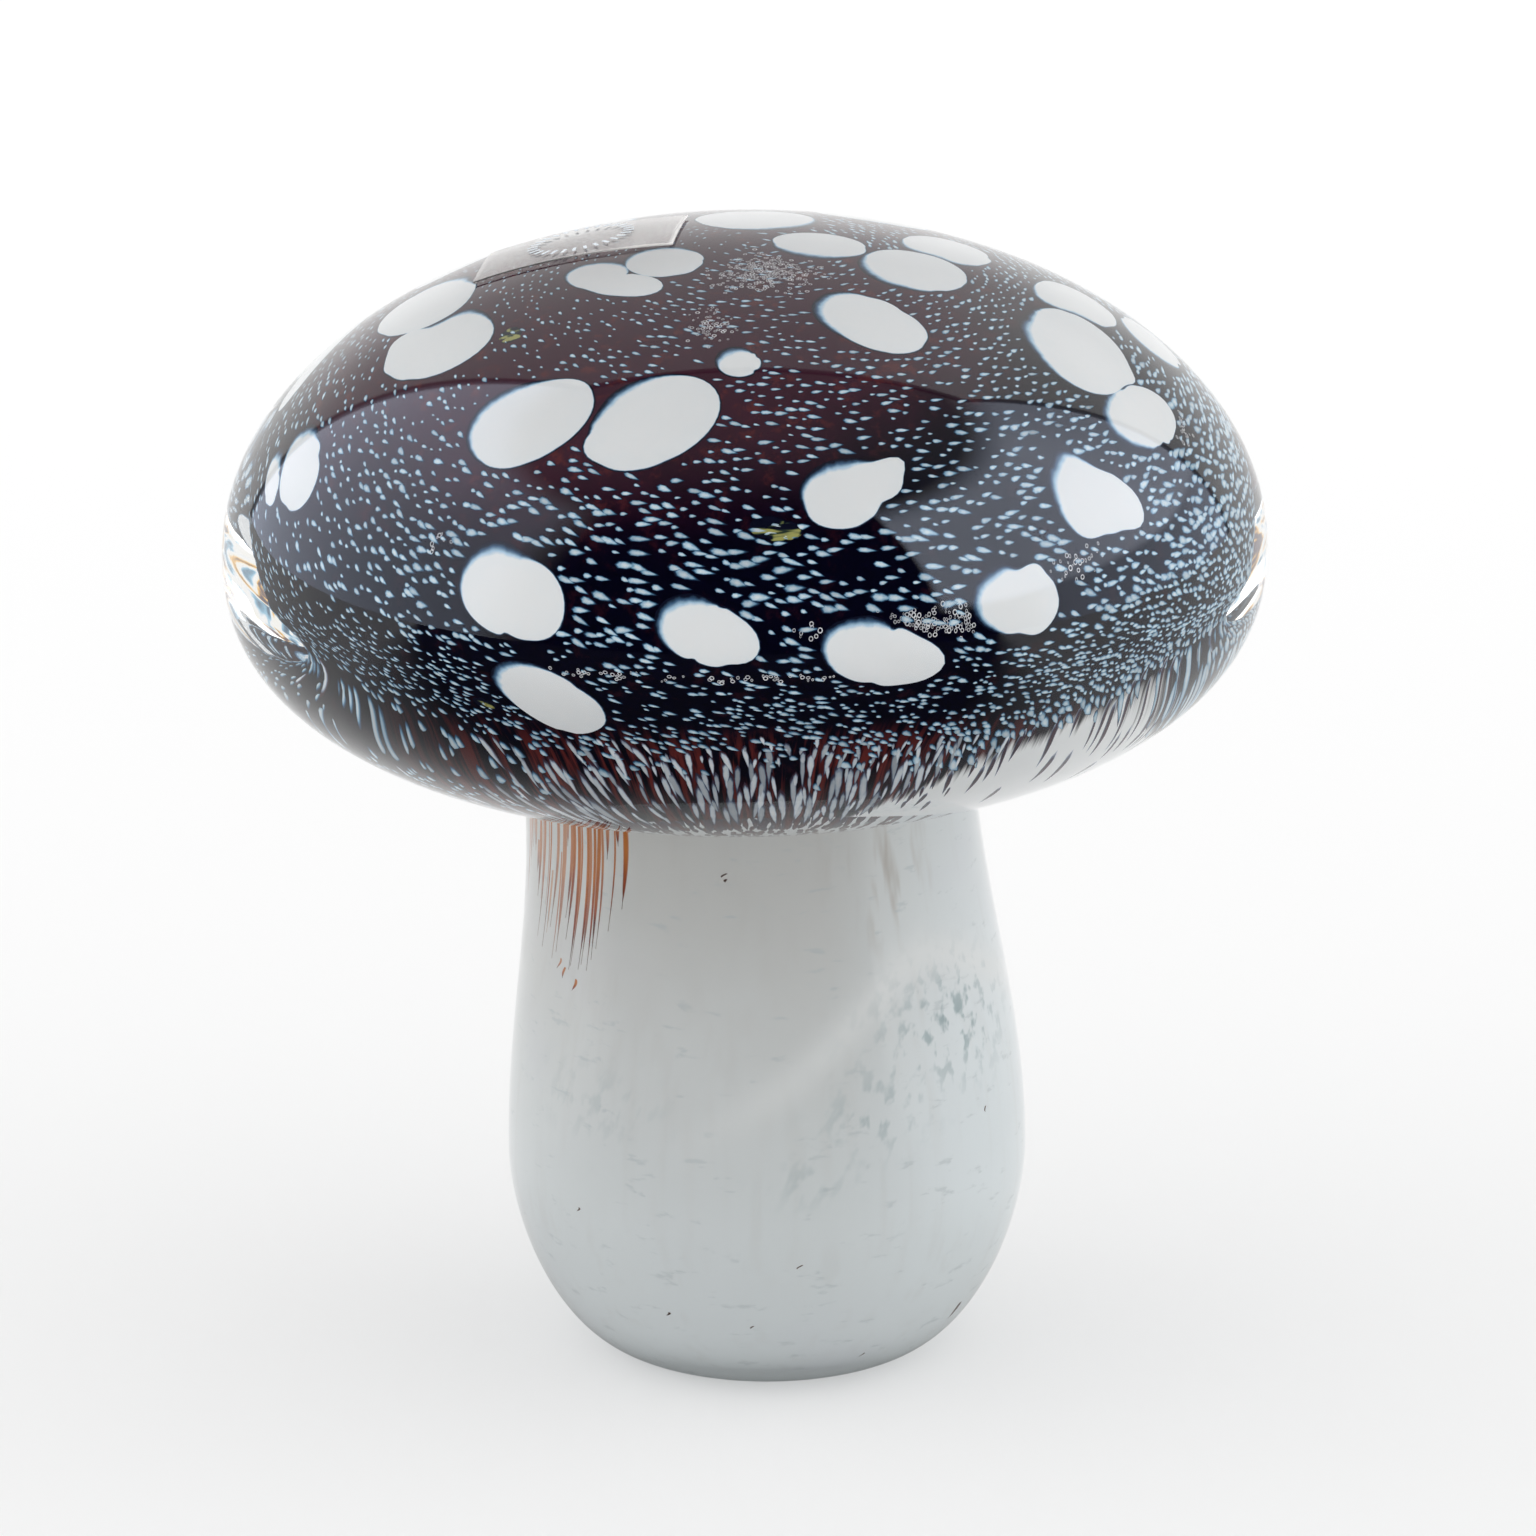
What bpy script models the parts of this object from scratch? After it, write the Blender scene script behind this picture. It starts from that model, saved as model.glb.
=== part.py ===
"""A glass mushroom ornament, solid and fused: a spotted, dark domed cap on a bellied opal stem.

Metres, +Z up. The origin is the centre of the ground foot, on the surface that it stands on, and
the front faces -Y. The glass was laid down in gathers, so each gather is its own solid: an opal
heart, a coloured overlay with the spots pressed into it, and a thick clear casing over all.
"""
import math
import random

import bmesh
import bpy
from mathutils import Matrix, Vector

MM = 0.001

# The cap: a low dome above its widest line and a fuller bowl below it.
CAP_RADIUS = 45.0 * MM
CAP_RISE = 27.95 * MM
CAP_DROP = 21.6 * MM
BOWL_FULLNESS = 2.3
CAP_HEIGHT = 72.05 * MM          # the cap's widest line above the ground
CAP_SHIFT = -1.9 * MM            # hand work: the cap sits a little to the left of the foot
CAP_TILT = math.radians(-0.75)   # and leans, its right side higher

# The coloured heart of the cap, under the clear casing.
HEART_RADIUS = 32.6 * MM
HEART_RISE = 21.0 * MM
HEART_DROP = 9.8 * MM
HEART_SHIFT = 0.6 * MM           # the heart is a little off the casing's centre too
FLARE = 2.2 * MM                 # the heart's bowl turns down into its neck within this width
FLARE_FALL = 0.4 * MM            # and falls this far before it turns
OVERLAY_WALL = 1.6 * MM
OVERLAY_LIP = 0.6 * MM           # the overlay thins to this at its lower edge
OVERLAY_THINS = -34.0            # slope angle under which it starts to thin
OVERLAY_STOP = 2.2               # it ends this many degrees short of the flare

# The stem.
NECK_RADIUS = 19.7 * MM          # of the joint between the bowl and the stem
NECK_WALL = 4.4 * MM             # of clear glass at that joint
BELLY_HEIGHT = 17.6 * MM
BELLY_RADIUS = 22.9 * MM
FOOT_RADIUS = 13.0 * MM
FOOT_FULLNESS = 1.72
STEM_WALL = 2.5 * MM             # of clear glass round the belly
FOOT_WALL = 3.0 * MM

# What lies in and on the layers.
FIT = 0.3 * MM                   # clearance between any two neighbouring solids
SPOT_DEPTH = 0.7 * MM
FLECK_DEPTH = 0.5 * MM
STREAK_DEPTH = 0.6 * MM
STREAK_TOP = 1.2 * MM            # the streaks start this far under the neck's joint
FILM_THICKNESS = 0.15 * MM
FILM_LENGTH = 17.0 * MM
FILM_WIDTH = 11.0 * MM
FILM_X = -13.5 * MM              # the film's middle, from the crown
FILM_Y = -0.3 * MM
FILM_TURN = math.radians(-6)

# Fineness of the turned pieces and how far a cutter runs past what it cuts.
SEGMENTS = 40
OVERRUN = 2.0 * MM

# What follows from those sizes: the joint lies where the bowl has drawn in to the neck's radius.
NECK_SHARE = (NECK_RADIUS / CAP_RADIUS) ** BOWL_FULLNESS
NECK_HEIGHT = CAP_HEIGHT - CAP_DROP * (1 - NECK_SHARE) ** (1 / BOWL_FULLNESS)
NECK_SLOPE = -math.degrees(math.acos(NECK_SHARE ** 0.5))
STEM_INSET = STEM_WALL + FIT
HEART_NECK = NECK_RADIUS - NECK_WALL - FIT
STEM_DRAWN_IN = BELLY_RADIUS - NECK_RADIUS
HEART_DRAWN_IN = BELLY_RADIUS - STEM_INSET - HEART_NECK
FLARE_SLOPE = -math.degrees(math.acos((HEART_NECK + FLARE) / HEART_RADIUS))
OVERLAY_EDGE = FLARE_SLOPE + OVERLAY_STOP

# The spots that the front shows: azimuth (0 at the front, + to the right) and slope angle on the
# heart in degrees, length and width in mm, turn of the length from level in degrees, and taper.
FRONT_SPOTS = [
    (-39, 36, 10.5, 7.6, 28, 0.0),
    (-17, 40, 11.2, 7.8, 38, 0.0),
    (-2, 53, 3.4, 3.2, 0, 0.0),
    (36, 60, 9.4, 6.8, -76, 0.0),
    (81, 66, 9.8, 8.0, -20, 0.0),
    (96, 80, 7.8, 6.8, -88, 0.0),
    (112, 59, 11.0, 6.6, -40, 0.0),
    (177, 73, 10.5, 9.5, 87, 0.0),
    (-63, 77, 7.4, 5.8, 5, 0.0),
    (-63, 69, 11.4, 4.8, 15, 0.0),
    (-100, 40, 13.5, 7.4, 28, 0.0),
    (-78, 41, 12.6, 7.8, 16, 0.0),
    (-83, 10, 8.6, 4.2, 0, 0.0),
    (-91, 4, 5.4, 1.8, -7, 0.0),
    (-33, 6, 9.4, 5.0, -2, 0.0),
    (-30, -26, 8.4, 7.0, -55, 0.0),
    (-6, 2, 7.6, 3.8, -13, 0.0),
    (17, -7, 9.6, 4.0, -16, 0.0),
    (16, 26, 8.8, 4.3, 11, 0.35),
    (55, 16, 9.3, 4.8, -17, 0.35),
    (37, 3, 8.0, 3.7, -5, 0.0),
    (76, 23, 11.6, 4.2, -12, 0.0),
    (79, 38, 13.2, 8.4, 0, 0.0),
    (101, 39, 12.5, 6.0, -29, 0.0),
    (108, 21, 10.0, 4.8, -26, 0.0),
]
# Round the back they go on in level rows: slope angle, first and last azimuth, how many.
BACK_ROWS = [
    (54, 150, 222, 2),
    (34, 136, 232, 4),
    (9, 128, 244, 5),
    (-20, 150, 232, 3),
]
BACK_LENGTH = 9.0
BACK_WIDTH = 5.0

# Yellow-green flecks in the overlay, in the same terms.
FLECKS = [
    (-61, 50, 2.0, 1.4, 10, 0.0),
    (4, 20, 4.0, 1.2, -5, 0.0),
    (-42, -33, 1.6, 1.0, 20, 0.0),
]
# Slivers of overlay drawn down the neck: azimuth, length and width in mm.
STREAKS = [
    (-85, 9.5, 1.4),
    (-75, 11.0, 1.6),
    (-66, 10.0, 1.2),
    (-58, 12.0, 1.6),
    (-50, 13.5, 1.3),
    (-42, 8.0, 1.5),
]


def clear_scene():
    for old in list(bpy.data.objects):
        bpy.data.objects.remove(old, do_unlink=True)


def finish(name, colour, roughness=0.05, alpha=1.0, transmission=0.0):
    """A Principled glass finish, clear or opal."""
    material = bpy.data.materials.new(name)
    material.use_nodes = True
    shader = material.node_tree.nodes["Principled BSDF"]
    shader.inputs["Base Color"].default_value = (*colour, 1.0)
    shader.inputs["Roughness"].default_value = roughness
    shader.inputs["Metallic"].default_value = 0.0
    shader.inputs["Alpha"].default_value = alpha
    shader.inputs["Transmission Weight"].default_value = transmission
    shader.inputs["IOR"].default_value = 1.5
    material.diffuse_color = (*colour, alpha)
    return material


def frame(name, place, tilt=0.0, parent=None):
    """An empty that carries the pieces of one gather."""
    empty = bpy.data.objects.new(name, None)
    bpy.context.scene.collection.objects.link(empty)
    empty.location = place
    empty.rotation_euler = (0.0, tilt, 0.0)
    empty.parent = parent
    return empty


def solid(name, mesh_data, parent=None, material=None):
    """Close, orient and link a mesh; without a material it is a cutter."""
    bmesh.ops.remove_doubles(mesh_data, verts=mesh_data.verts, dist=0.001 * MM)
    bmesh.ops.recalc_face_normals(mesh_data, faces=mesh_data.faces)
    mesh = bpy.data.meshes.new(name)
    mesh_data.to_mesh(mesh)
    mesh_data.free()
    mesh.shade_smooth()
    mesh.set_sharp_from_angle(angle=math.radians(40))
    piece = bpy.data.objects.new(name, mesh)
    bpy.context.scene.collection.objects.link(piece)
    piece.parent = parent
    if material is None:
        piece.hide_render = True
        piece.display_type = "WIRE"
    else:
        mesh.materials.append(material)
    return piece


def cut(piece, cutter):
    """Take one cutter, or every cutter of a collection, out of a piece."""
    boolean = piece.modifiers.new("cut_" + cutter.name, "BOOLEAN")
    boolean.operation = "DIFFERENCE"
    boolean.solver = "EXACT"
    if isinstance(cutter, bpy.types.Collection):
        boolean.operand_type = "COLLECTION"
        boolean.collection = cutter
    else:
        boolean.object = cutter


def turned(outline, shift_at=None):
    """Spin an outline of (radius, height) points, poles first and last, into a closed solid."""
    data = bmesh.new()
    line = [data.verts.new((radius, 0.0, height)) for radius, height in outline]
    edges = [data.edges.new(pair) for pair in zip(line, line[1:])]
    bmesh.ops.spin(data, geom=line + edges, cent=(0, 0, 0), axis=(0, 0, 1), angle=math.tau,
                   steps=SEGMENTS, use_merge=True)
    if shift_at:
        for vert in data.verts:
            vert.co.x += shift_at(vert.co.z)
    return data


def steps(first, last, count):
    """Evenly spaced values, both ends included."""
    return [first + (last - first) * i / (count - 1) for i in range(count)]


def dome_point(slope, radius, rise, drop, bowl, inset=0.0):
    """Outline point at a slope angle: 90 is the crown, 0 the widest line, below 0 the bowl."""
    fullness, height = (2.0, rise) if slope >= 0 else (bowl, -drop)
    across = abs(math.cos(math.radians(slope))) ** (2 / fullness)
    along = abs(math.sin(math.radians(slope))) ** (2 / fullness)
    normal = Vector((across ** (fullness - 1) / radius, along ** (fullness - 1) / height))
    point = Vector((radius * across, height * along)) - normal.normalized() * inset
    return (0.0, point.y) if slope >= 90 else (point.x, point.y)


def heart_point(slope, inset=0.0):
    return dome_point(slope, HEART_RADIUS, HEART_RISE, HEART_DROP, 2.0, inset)


def overlay_wall(slope):
    """The overlay's wall, thinning towards its lower edge."""
    share = min(1.0, max(0.0, (slope - OVERLAY_EDGE) / (OVERLAY_THINS - OVERLAY_EDGE)))
    return OVERLAY_LIP + (OVERLAY_WALL - OVERLAY_LIP) * share


def neck_bend(start, neck_radius):
    """Points that turn the heart's bowl down into its neck along a soft curve."""
    first = Vector(start)
    corner = Vector((neck_radius, first.y - FLARE_FALL))
    last = Vector((neck_radius, corner.y - FLARE))
    points = []
    for t in steps(0.0, 1.0, 5)[1:]:
        point = first * (1 - t) ** 2 + corner * 2 * t * (1 - t) + last * t ** 2
        points.append((point.x, point.y))
    return points


def heart_outline(inset_at, grow=0.0):
    """The heart from its crown down through the neck, past the joint with the stem."""
    slopes = steps(90, 0, 9) + steps(0, OVERLAY_EDGE, 6)[1:]
    outline = [heart_point(slope, inset_at(slope) - grow) for slope in slopes]
    outline.append(heart_point(FLARE_SLOPE, -grow))
    outline += neck_bend(outline[-1], HEART_NECK + grow)
    end = min(NECK_HEIGHT - CAP_HEIGHT, outline[-1][1]) - OVERRUN
    return outline + [(HEART_NECK + grow, end), (0.0, end)]


def cap_outline():
    """The casing's outside from the crown to just past the joint with the stem."""
    slopes = steps(90, 0, 11) + steps(0, NECK_SLOPE, 9)[1:]
    sizes = (CAP_RADIUS, CAP_RISE, CAP_DROP, BOWL_FULLNESS)
    outline = [dome_point(slope, *sizes) for slope in slopes]
    end = NECK_HEIGHT - CAP_HEIGHT - OVERRUN
    return outline + [(NECK_RADIUS, end), (0.0, end)]


def stem_outline(inset, floor, top, draw_in):
    """The stem from the middle of its foot up over the belly to the neck, drawn in this much."""
    outline = [(0.0, floor)]
    swell = BELLY_RADIUS - FOOT_RADIUS
    for angle in steps(90, 0, 8):
        along = math.sin(math.radians(angle)) ** (2 / FOOT_FULLNESS)
        across = abs(math.cos(math.radians(angle))) ** (2 / FOOT_FULLNESS)
        height = BELLY_HEIGHT - (BELLY_HEIGHT - floor) * along
        outline.append((FOOT_RADIUS - inset + swell * across, height))
    for height in steps(BELLY_HEIGHT, top, 7)[1:]:
        outline.append((BELLY_RADIUS - inset - draw_in * eased(climb(height)), height))
    return outline + [(0.0, top)]


def climb(height):
    """How far a height is from the belly, 0, to the neck's joint, 1."""
    share = (height - BELLY_HEIGHT) / (NECK_HEIGHT - BELLY_HEIGHT)
    return min(1.0, max(0.0, share))


def eased(share):
    """The same share, starting and ending level."""
    return (1 - math.cos(math.pi * share)) / 2


def stem_heart_radius(height):
    return BELLY_RADIUS - STEM_INSET - HEART_DRAWN_IN * eased(climb(height))


def stem_lean(height, extra=0.0):
    """Sideways shift that brings the stem's neck under the leaning cap's."""
    neck_shift = CAP_SHIFT + (NECK_HEIGHT - CAP_HEIGHT) * math.sin(CAP_TILT) + extra
    return neck_shift * climb(height) ** 2


def heart_lean(height):
    return stem_lean(height, HEART_SHIFT)


def inside_heart(point):
    """Whether a point lies in the cap's heart, measured from the heart's centre."""
    height = HEART_RISE if point.z >= 0 else HEART_DROP
    return math.hypot(point.x / HEART_RADIUS, point.y / HEART_RADIUS, point.z / height) < 1.0


def inside_stem_heart(point):
    across = math.hypot(point.x - heart_lean(point.z), point.y)
    return across < stem_heart_radius(point.z)


def settle(point, normal, inside):
    """Slide a point along a normal onto the surface."""
    low, high = -OVERRUN * 4, OVERRUN * 4
    for _ in range(32):
        middle = (low + high) / 2
        if inside(point + normal * middle):
            low = middle
        else:
            high = middle
    return point + normal * low


def blob(inside, centre, normal, size, turn, taper, depth, grow=0.0, rise=0.0, sides=12):
    """A lens of glass pressed flush into a surface: (length, width) turned from level."""
    east = Vector((0, 0, 1)).cross(normal).normalized()
    north = normal.cross(east)
    along = east * math.cos(turn) + north * math.sin(turn)
    over = normal.cross(along)

    def ring(share, lift):
        points = []
        for k in range(sides):
            angle = math.tau * k / sides
            narrow = 1.0 - taper * math.cos(angle)
            step = along * math.cos(angle) * (size[0] / 2 * share + grow)
            step += over * math.sin(angle) * (size[1] / 2 * narrow * share + grow)
            points.append(data.verts.new(settle(centre + step, normal, inside) + normal * lift))
        return points

    data = bmesh.new()
    top, crown, bottom = ring(1.0, rise), ring(0.55, rise), ring(1.0, -depth - grow)
    peak = data.verts.new(settle(centre, normal, inside) + normal * rise)
    base = data.verts.new(settle(centre, normal, inside) - normal * (depth + grow))
    for k in range(sides):
        nxt = (k + 1) % sides
        data.faces.new((peak, crown[k], crown[nxt]))
        data.faces.new((crown[k], top[k], top[nxt]))
        data.faces.new((crown[k], top[nxt], crown[nxt]))
        data.faces.new((top[k], bottom[k], bottom[nxt]))
        data.faces.new((top[k], bottom[nxt], top[nxt]))
        data.faces.new((base, bottom[nxt], bottom[k]))
    return data


def heart_place(azimuth, slope):
    """Point and normal on the heart's surface at an azimuth and a slope angle."""
    radius, height = heart_point(slope)
    out_radius, out_height = heart_point(slope, -1.0 * MM)
    around = math.radians(azimuth)
    outwards = Vector((math.sin(around), -math.cos(around), 0.0))
    normal = outwards * (out_radius - radius) + Vector((0, 0, out_height - height))
    return outwards * radius + Vector((0, 0, height)), normal.normalized()


def press_into_heart(name, row, depth, finish_of, pockets, parent):
    """One spot or fleck, its pocket, and a trim where it meets one that was laid before it."""
    azimuth, slope, length, width, turn, taper = row
    centre, normal = heart_place(azimuth, slope)
    size = (length * MM, width * MM)
    shape = (inside_heart, centre, normal, size, math.radians(turn), taper, depth)
    piece = solid(name, blob(*shape), parent, finish_of)
    for earlier in pockets.objects:
        reach = (size[0] + earlier["length"]) / 2 + FIT
        if (Vector(earlier["centre"]) - centre).length < reach:
            cut(piece, earlier)
    pocket = solid(name + "_pocket", blob(*shape, grow=FIT, rise=OVERRUN), parent)
    bpy.context.scene.collection.objects.unlink(pocket)
    pockets.objects.link(pocket)
    pocket["length"] = size[0]
    pocket["centre"] = centre
    return piece


def back_spots():
    """Rows of spots round the back, staggered and slightly unlike each other."""
    dice = random.Random(5)
    rows = []
    for slope, first, last, count in BACK_ROWS:
        for azimuth in steps(first, last, count):
            length = BACK_LENGTH * dice.uniform(0.8, 1.2)
            width = BACK_WIDTH * dice.uniform(0.8, 1.1) * (1.4 if slope > 20 else 1.0)
            rows.append((azimuth, slope, length, width, dice.uniform(-25, 25), 0.0))
    return rows


def make_cap():
    clear = finish("clear_crystal", (0.96, 0.97, 0.97), 0.02, 0.25, 1.0)
    aubergine = finish("aubergine_overlay", (0.05, 0.012, 0.02), 0.08)
    opal = finish("opal_white", (0.72, 0.76, 0.77), 0.15)
    yellow = finish("yellow_green", (0.42, 0.40, 0.08), 0.12)
    cap = frame("cap_frame", (CAP_SHIFT, 0.0, CAP_HEIGHT), CAP_TILT)
    heart = frame("heart_frame", (HEART_SHIFT, 0.0, 0.0), 0.0, cap)
    pockets = bpy.data.collections.new("pockets")
    bpy.context.scene.collection.children.link(pockets)

    knocked_off = solid("under_the_joint", slab(NECK_HEIGHT + FIT / 2))
    room = solid("room_for_heart", turned(heart_outline(lambda slope: 0.0, FIT)), heart)
    casing = solid("cap_casing", turned(cap_outline()), cap, clear)
    cut(casing, room)
    cut(casing, knocked_off)

    overlay = solid("cap_overlay", turned(overlay_outline()), heart, aubergine)
    core = solid("cap_core", turned(heart_outline(lambda s: overlay_wall(s) + FIT)), heart, opal)
    cut(core, knocked_off)

    for number, row in enumerate(FRONT_SPOTS + back_spots(), 1):
        press_into_heart(f"spot_{number:02d}", row, SPOT_DEPTH, opal, pockets, heart)
    for number, row in enumerate(FLECKS, 1):
        press_into_heart(f"yellow_fleck_{number}", row, FLECK_DEPTH, yellow, pockets, heart)
    cut(overlay, pockets)
    make_film(cap)


def overlay_outline():
    """The overlay's shell: down its outside, round its edge and up its inside."""
    slopes = steps(90, 0, 9) + steps(0, OVERLAY_EDGE, 6)[1:]
    outside = [heart_point(slope) for slope in slopes]
    inside = [heart_point(slope, overlay_wall(slope)) for slope in slopes]
    return outside + inside[::-1]


def slab(top):
    """A block that reaches down from a level, wider than the neck."""
    data = bmesh.new()
    size = CAP_RADIUS * 2
    middle = Vector((0, 0, top - size / 2))
    bmesh.ops.create_cube(data, size=size, matrix=Matrix.Translation(middle))
    return data


def make_film(cap):
    """A bare clear film, bent to the dome beside the crown."""
    data = bmesh.new()
    spread = Matrix.Diagonal((FILM_LENGTH, FILM_WIDTH, 1.0, 1.0))
    place = Matrix.Translation((FILM_X, FILM_Y, 0.0)) @ Matrix.Rotation(FILM_TURN, 4, "Z")
    bmesh.ops.create_grid(data, x_segments=6, y_segments=4, size=0.5, matrix=place @ spread)
    for vert in data.verts:
        x, y = vert.co.x, vert.co.y
        z = CAP_RISE * math.sqrt(1 - (x * x + y * y) / CAP_RADIUS ** 2)
        normal = Vector((x / CAP_RADIUS ** 2, y / CAP_RADIUS ** 2, z / CAP_RISE ** 2))
        vert.co = Vector((x, y, z)) + normal.normalized() * (FIT + FILM_THICKNESS / 2)
    film = solid("label", data, cap, finish("clear_film", (0.9, 0.92, 0.94), 0.1, 0.3, 1.0))
    wall = film.modifiers.new("thickness", "SOLIDIFY")
    wall.thickness = FILM_THICKNESS
    wall.offset = 0.0


def make_stem():
    opal = finish("opal_grey", (0.60, 0.64, 0.65), 0.2)
    clear = finish("clear_stem_crystal", (0.90, 0.94, 0.93), 0.03, 0.25, 1.0)
    amber = finish("amber_streak", (0.30, 0.10, 0.03), 0.12)
    top = NECK_HEIGHT - FIT / 2
    outline = stem_outline(0.0, 0.0, top, STEM_DRAWN_IN)
    casing = solid("stem_casing", turned(outline, stem_lean), None, clear)
    hollow = stem_outline(STEM_WALL, FOOT_WALL, top + OVERRUN, HEART_DRAWN_IN)
    cut(casing, solid("room_for_stem_heart", turned(hollow, heart_lean)))

    outline = stem_outline(STEM_INSET, FOOT_WALL + FIT, top, HEART_DRAWN_IN)
    core = solid("stem_core", turned(outline, heart_lean), None, opal)
    for number, (azimuth, length, width) in enumerate(STREAKS, 1):
        height = top - STREAK_TOP - length * MM / 2
        around = math.radians(azimuth)
        normal = Vector((math.sin(around), -math.cos(around), 0.0))
        centre = normal * stem_heart_radius(height)
        centre += Vector((heart_lean(height), 0.0, height))
        size = (length * MM, width * MM)
        shape = (inside_stem_heart, centre, normal, size, math.radians(90), 0.3, STREAK_DEPTH)
        solid(f"neck_streak_{number}", blob(*shape, sides=10), None, amber)
        pocket = blob(*shape, grow=FIT, rise=OVERRUN, sides=10)
        cut(core, solid(f"streak_pocket_{number}", pocket))


def main():
    clear_scene()
    make_cap()
    make_stem()


main()
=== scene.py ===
# %% [markdown]
# # A glass mushroom, from the inside out
#
# The real ornament is one lump of fused glass, but it was built up in gathers. An opal heart came
# first. The cap's heart was then rolled in dark aubergine glass and in crushed white chips, spots
# of opal were pressed into it, and everything was dipped in clear crystal.
#
# The look follows the same order. Every coloured layer is an opaque mesh that lies inside one
# closed solid of clear glass. The renderer then bends the light at the outer skin alone, as the
# real lump does, and the dome magnifies what lies under it.
#
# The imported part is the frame. Its solids keep a fine gap between layers, which in clear glass
# would shine like a mirror, so each layer gets a smooth piece here that stands for its node.

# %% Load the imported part
import math

import bmesh
import bpy
import numpy as np
from mathutils import Matrix, Vector


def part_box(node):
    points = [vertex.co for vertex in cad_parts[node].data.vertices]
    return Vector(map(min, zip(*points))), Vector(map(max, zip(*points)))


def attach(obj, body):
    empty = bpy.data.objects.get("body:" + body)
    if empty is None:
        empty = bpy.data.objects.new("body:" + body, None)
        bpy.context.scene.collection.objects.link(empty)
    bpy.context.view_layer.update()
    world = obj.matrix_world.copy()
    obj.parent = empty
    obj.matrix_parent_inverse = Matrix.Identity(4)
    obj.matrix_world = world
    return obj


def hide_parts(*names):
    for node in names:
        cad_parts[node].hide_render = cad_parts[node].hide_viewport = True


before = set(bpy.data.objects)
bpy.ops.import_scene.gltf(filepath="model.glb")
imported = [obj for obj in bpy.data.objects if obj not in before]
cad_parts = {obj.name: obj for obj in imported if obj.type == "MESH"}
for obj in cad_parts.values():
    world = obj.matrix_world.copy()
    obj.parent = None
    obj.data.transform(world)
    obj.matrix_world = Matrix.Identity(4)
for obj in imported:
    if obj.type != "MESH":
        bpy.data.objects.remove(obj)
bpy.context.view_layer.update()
print("nodes in the frame:", len(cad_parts))

# %% [markdown]
# The mushroom's form has a few rules. The cap is a flattened dome over a fuller bowl, and its
# coloured heart is a smaller dome and bowl, a little off centre. The maker let the cap lean by
# less than a degree. All lengths are in metres, and the ones that the frame can tell are read
# from it. The cap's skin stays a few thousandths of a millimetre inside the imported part.

# %% Sizes of the cap and its heart
MM = 0.001
cap_low, cap_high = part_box("cap_casing")
heart_low, heart_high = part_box("cap_overlay")
stem_low, stem_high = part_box("stem_casing")

SKIN_INSET = 0.004 * MM
CAP_RADIUS = (cap_high.y - cap_low.y) / 2 - SKIN_INSET
HEART_RADIUS = (heart_high.y - heart_low.y) / 2
CAP_RISE = 27.95 * MM
CAP_DROP = 21.6 * MM
BOWL_FULLNESS = 2.3
HEART_RISE = 21.0 * MM
HEART_DROP = 9.8 * MM
HEART_SHIFT = 0.6 * MM
OVERLAY_WALL = 1.6 * MM
LAYER_GAP = 0.3 * MM
CAP_TILT = math.radians(-0.75)
CAP_HEIGHT = cap_high.z - CAP_RISE
CAP_SHIFT = (cap_high.x + cap_low.x) / 2

cap_place = Matrix.Translation((CAP_SHIFT, 0, CAP_HEIGHT)) @ Matrix.Rotation(CAP_TILT, 4, "Y")
heart_place = cap_place @ Matrix.Translation((HEART_SHIFT, 0, 0))
to_heart = np.array(heart_place.inverted())
print(f"cap {CAP_RADIUS * 2 / MM:.1f} mm wide, widest {CAP_HEIGHT / MM:.1f} mm above the ground")

# %% Sizes of the stem
NECK_RADIUS = 19.7 * MM
NECK_WALL = 4.7 * MM
BELLY_HEIGHT = 17.6 * MM
BELLY_RADIUS = (stem_high.y - stem_low.y) / 2
FOOT_RADIUS = 13.0 * MM
FOOT_FULLNESS = 1.72
STEM_WALL = 2.8 * MM
FOOT_WALL = 3.3 * MM
FLARE = 2.2 * MM
FLARE_FALL = 0.4 * MM
OVERLAY_LIP = 2.2  # degrees of slope by which the overlay ends above the flare

NECK_SHARE = (NECK_RADIUS / CAP_RADIUS) ** BOWL_FULLNESS
NECK_HEIGHT = CAP_HEIGHT - CAP_DROP * (1 - NECK_SHARE) ** (1 / BOWL_FULLNESS)
NECK_SLOPE = -math.degrees(math.acos(NECK_SHARE ** 0.5))
HEART_NECK = NECK_RADIUS - NECK_WALL
FLARE_SLOPE = -math.degrees(math.acos((HEART_NECK + FLARE) / HEART_RADIUS))
OVERLAY_EDGE = FLARE_SLOPE + OVERLAY_LIP
print(f"the stem joins the bowl {NECK_HEIGHT / MM:.1f} mm up; in the frame {stem_high.z / MM:.1f} mm")

# %% [markdown]
# Shaders and Geometry Nodes are both built from the same few moves: add a node, set or link its
# sockets, chain sums. Two small helpers keep each tree as short as what it says.

# %% Helpers for node trees


def node(tree, kind, sockets=None, **settings):
    """Add a node; each socket takes a value or the output that feeds it."""
    made = tree.nodes.new(kind)
    for name, value in settings.items():
        setattr(made, name, value)
    for key, value in (sockets or {}).items():
        if isinstance(value, bpy.types.NodeSocket):
            tree.links.new(value, made.inputs[key])
        else:
            made.inputs[key].default_value = value
    return made


def calc(tree, operation, *values):
    """One sum of numbers or sockets."""
    return node(tree, "ShaderNodeMath", dict(enumerate(values)), operation=operation).outputs[0]


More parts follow.
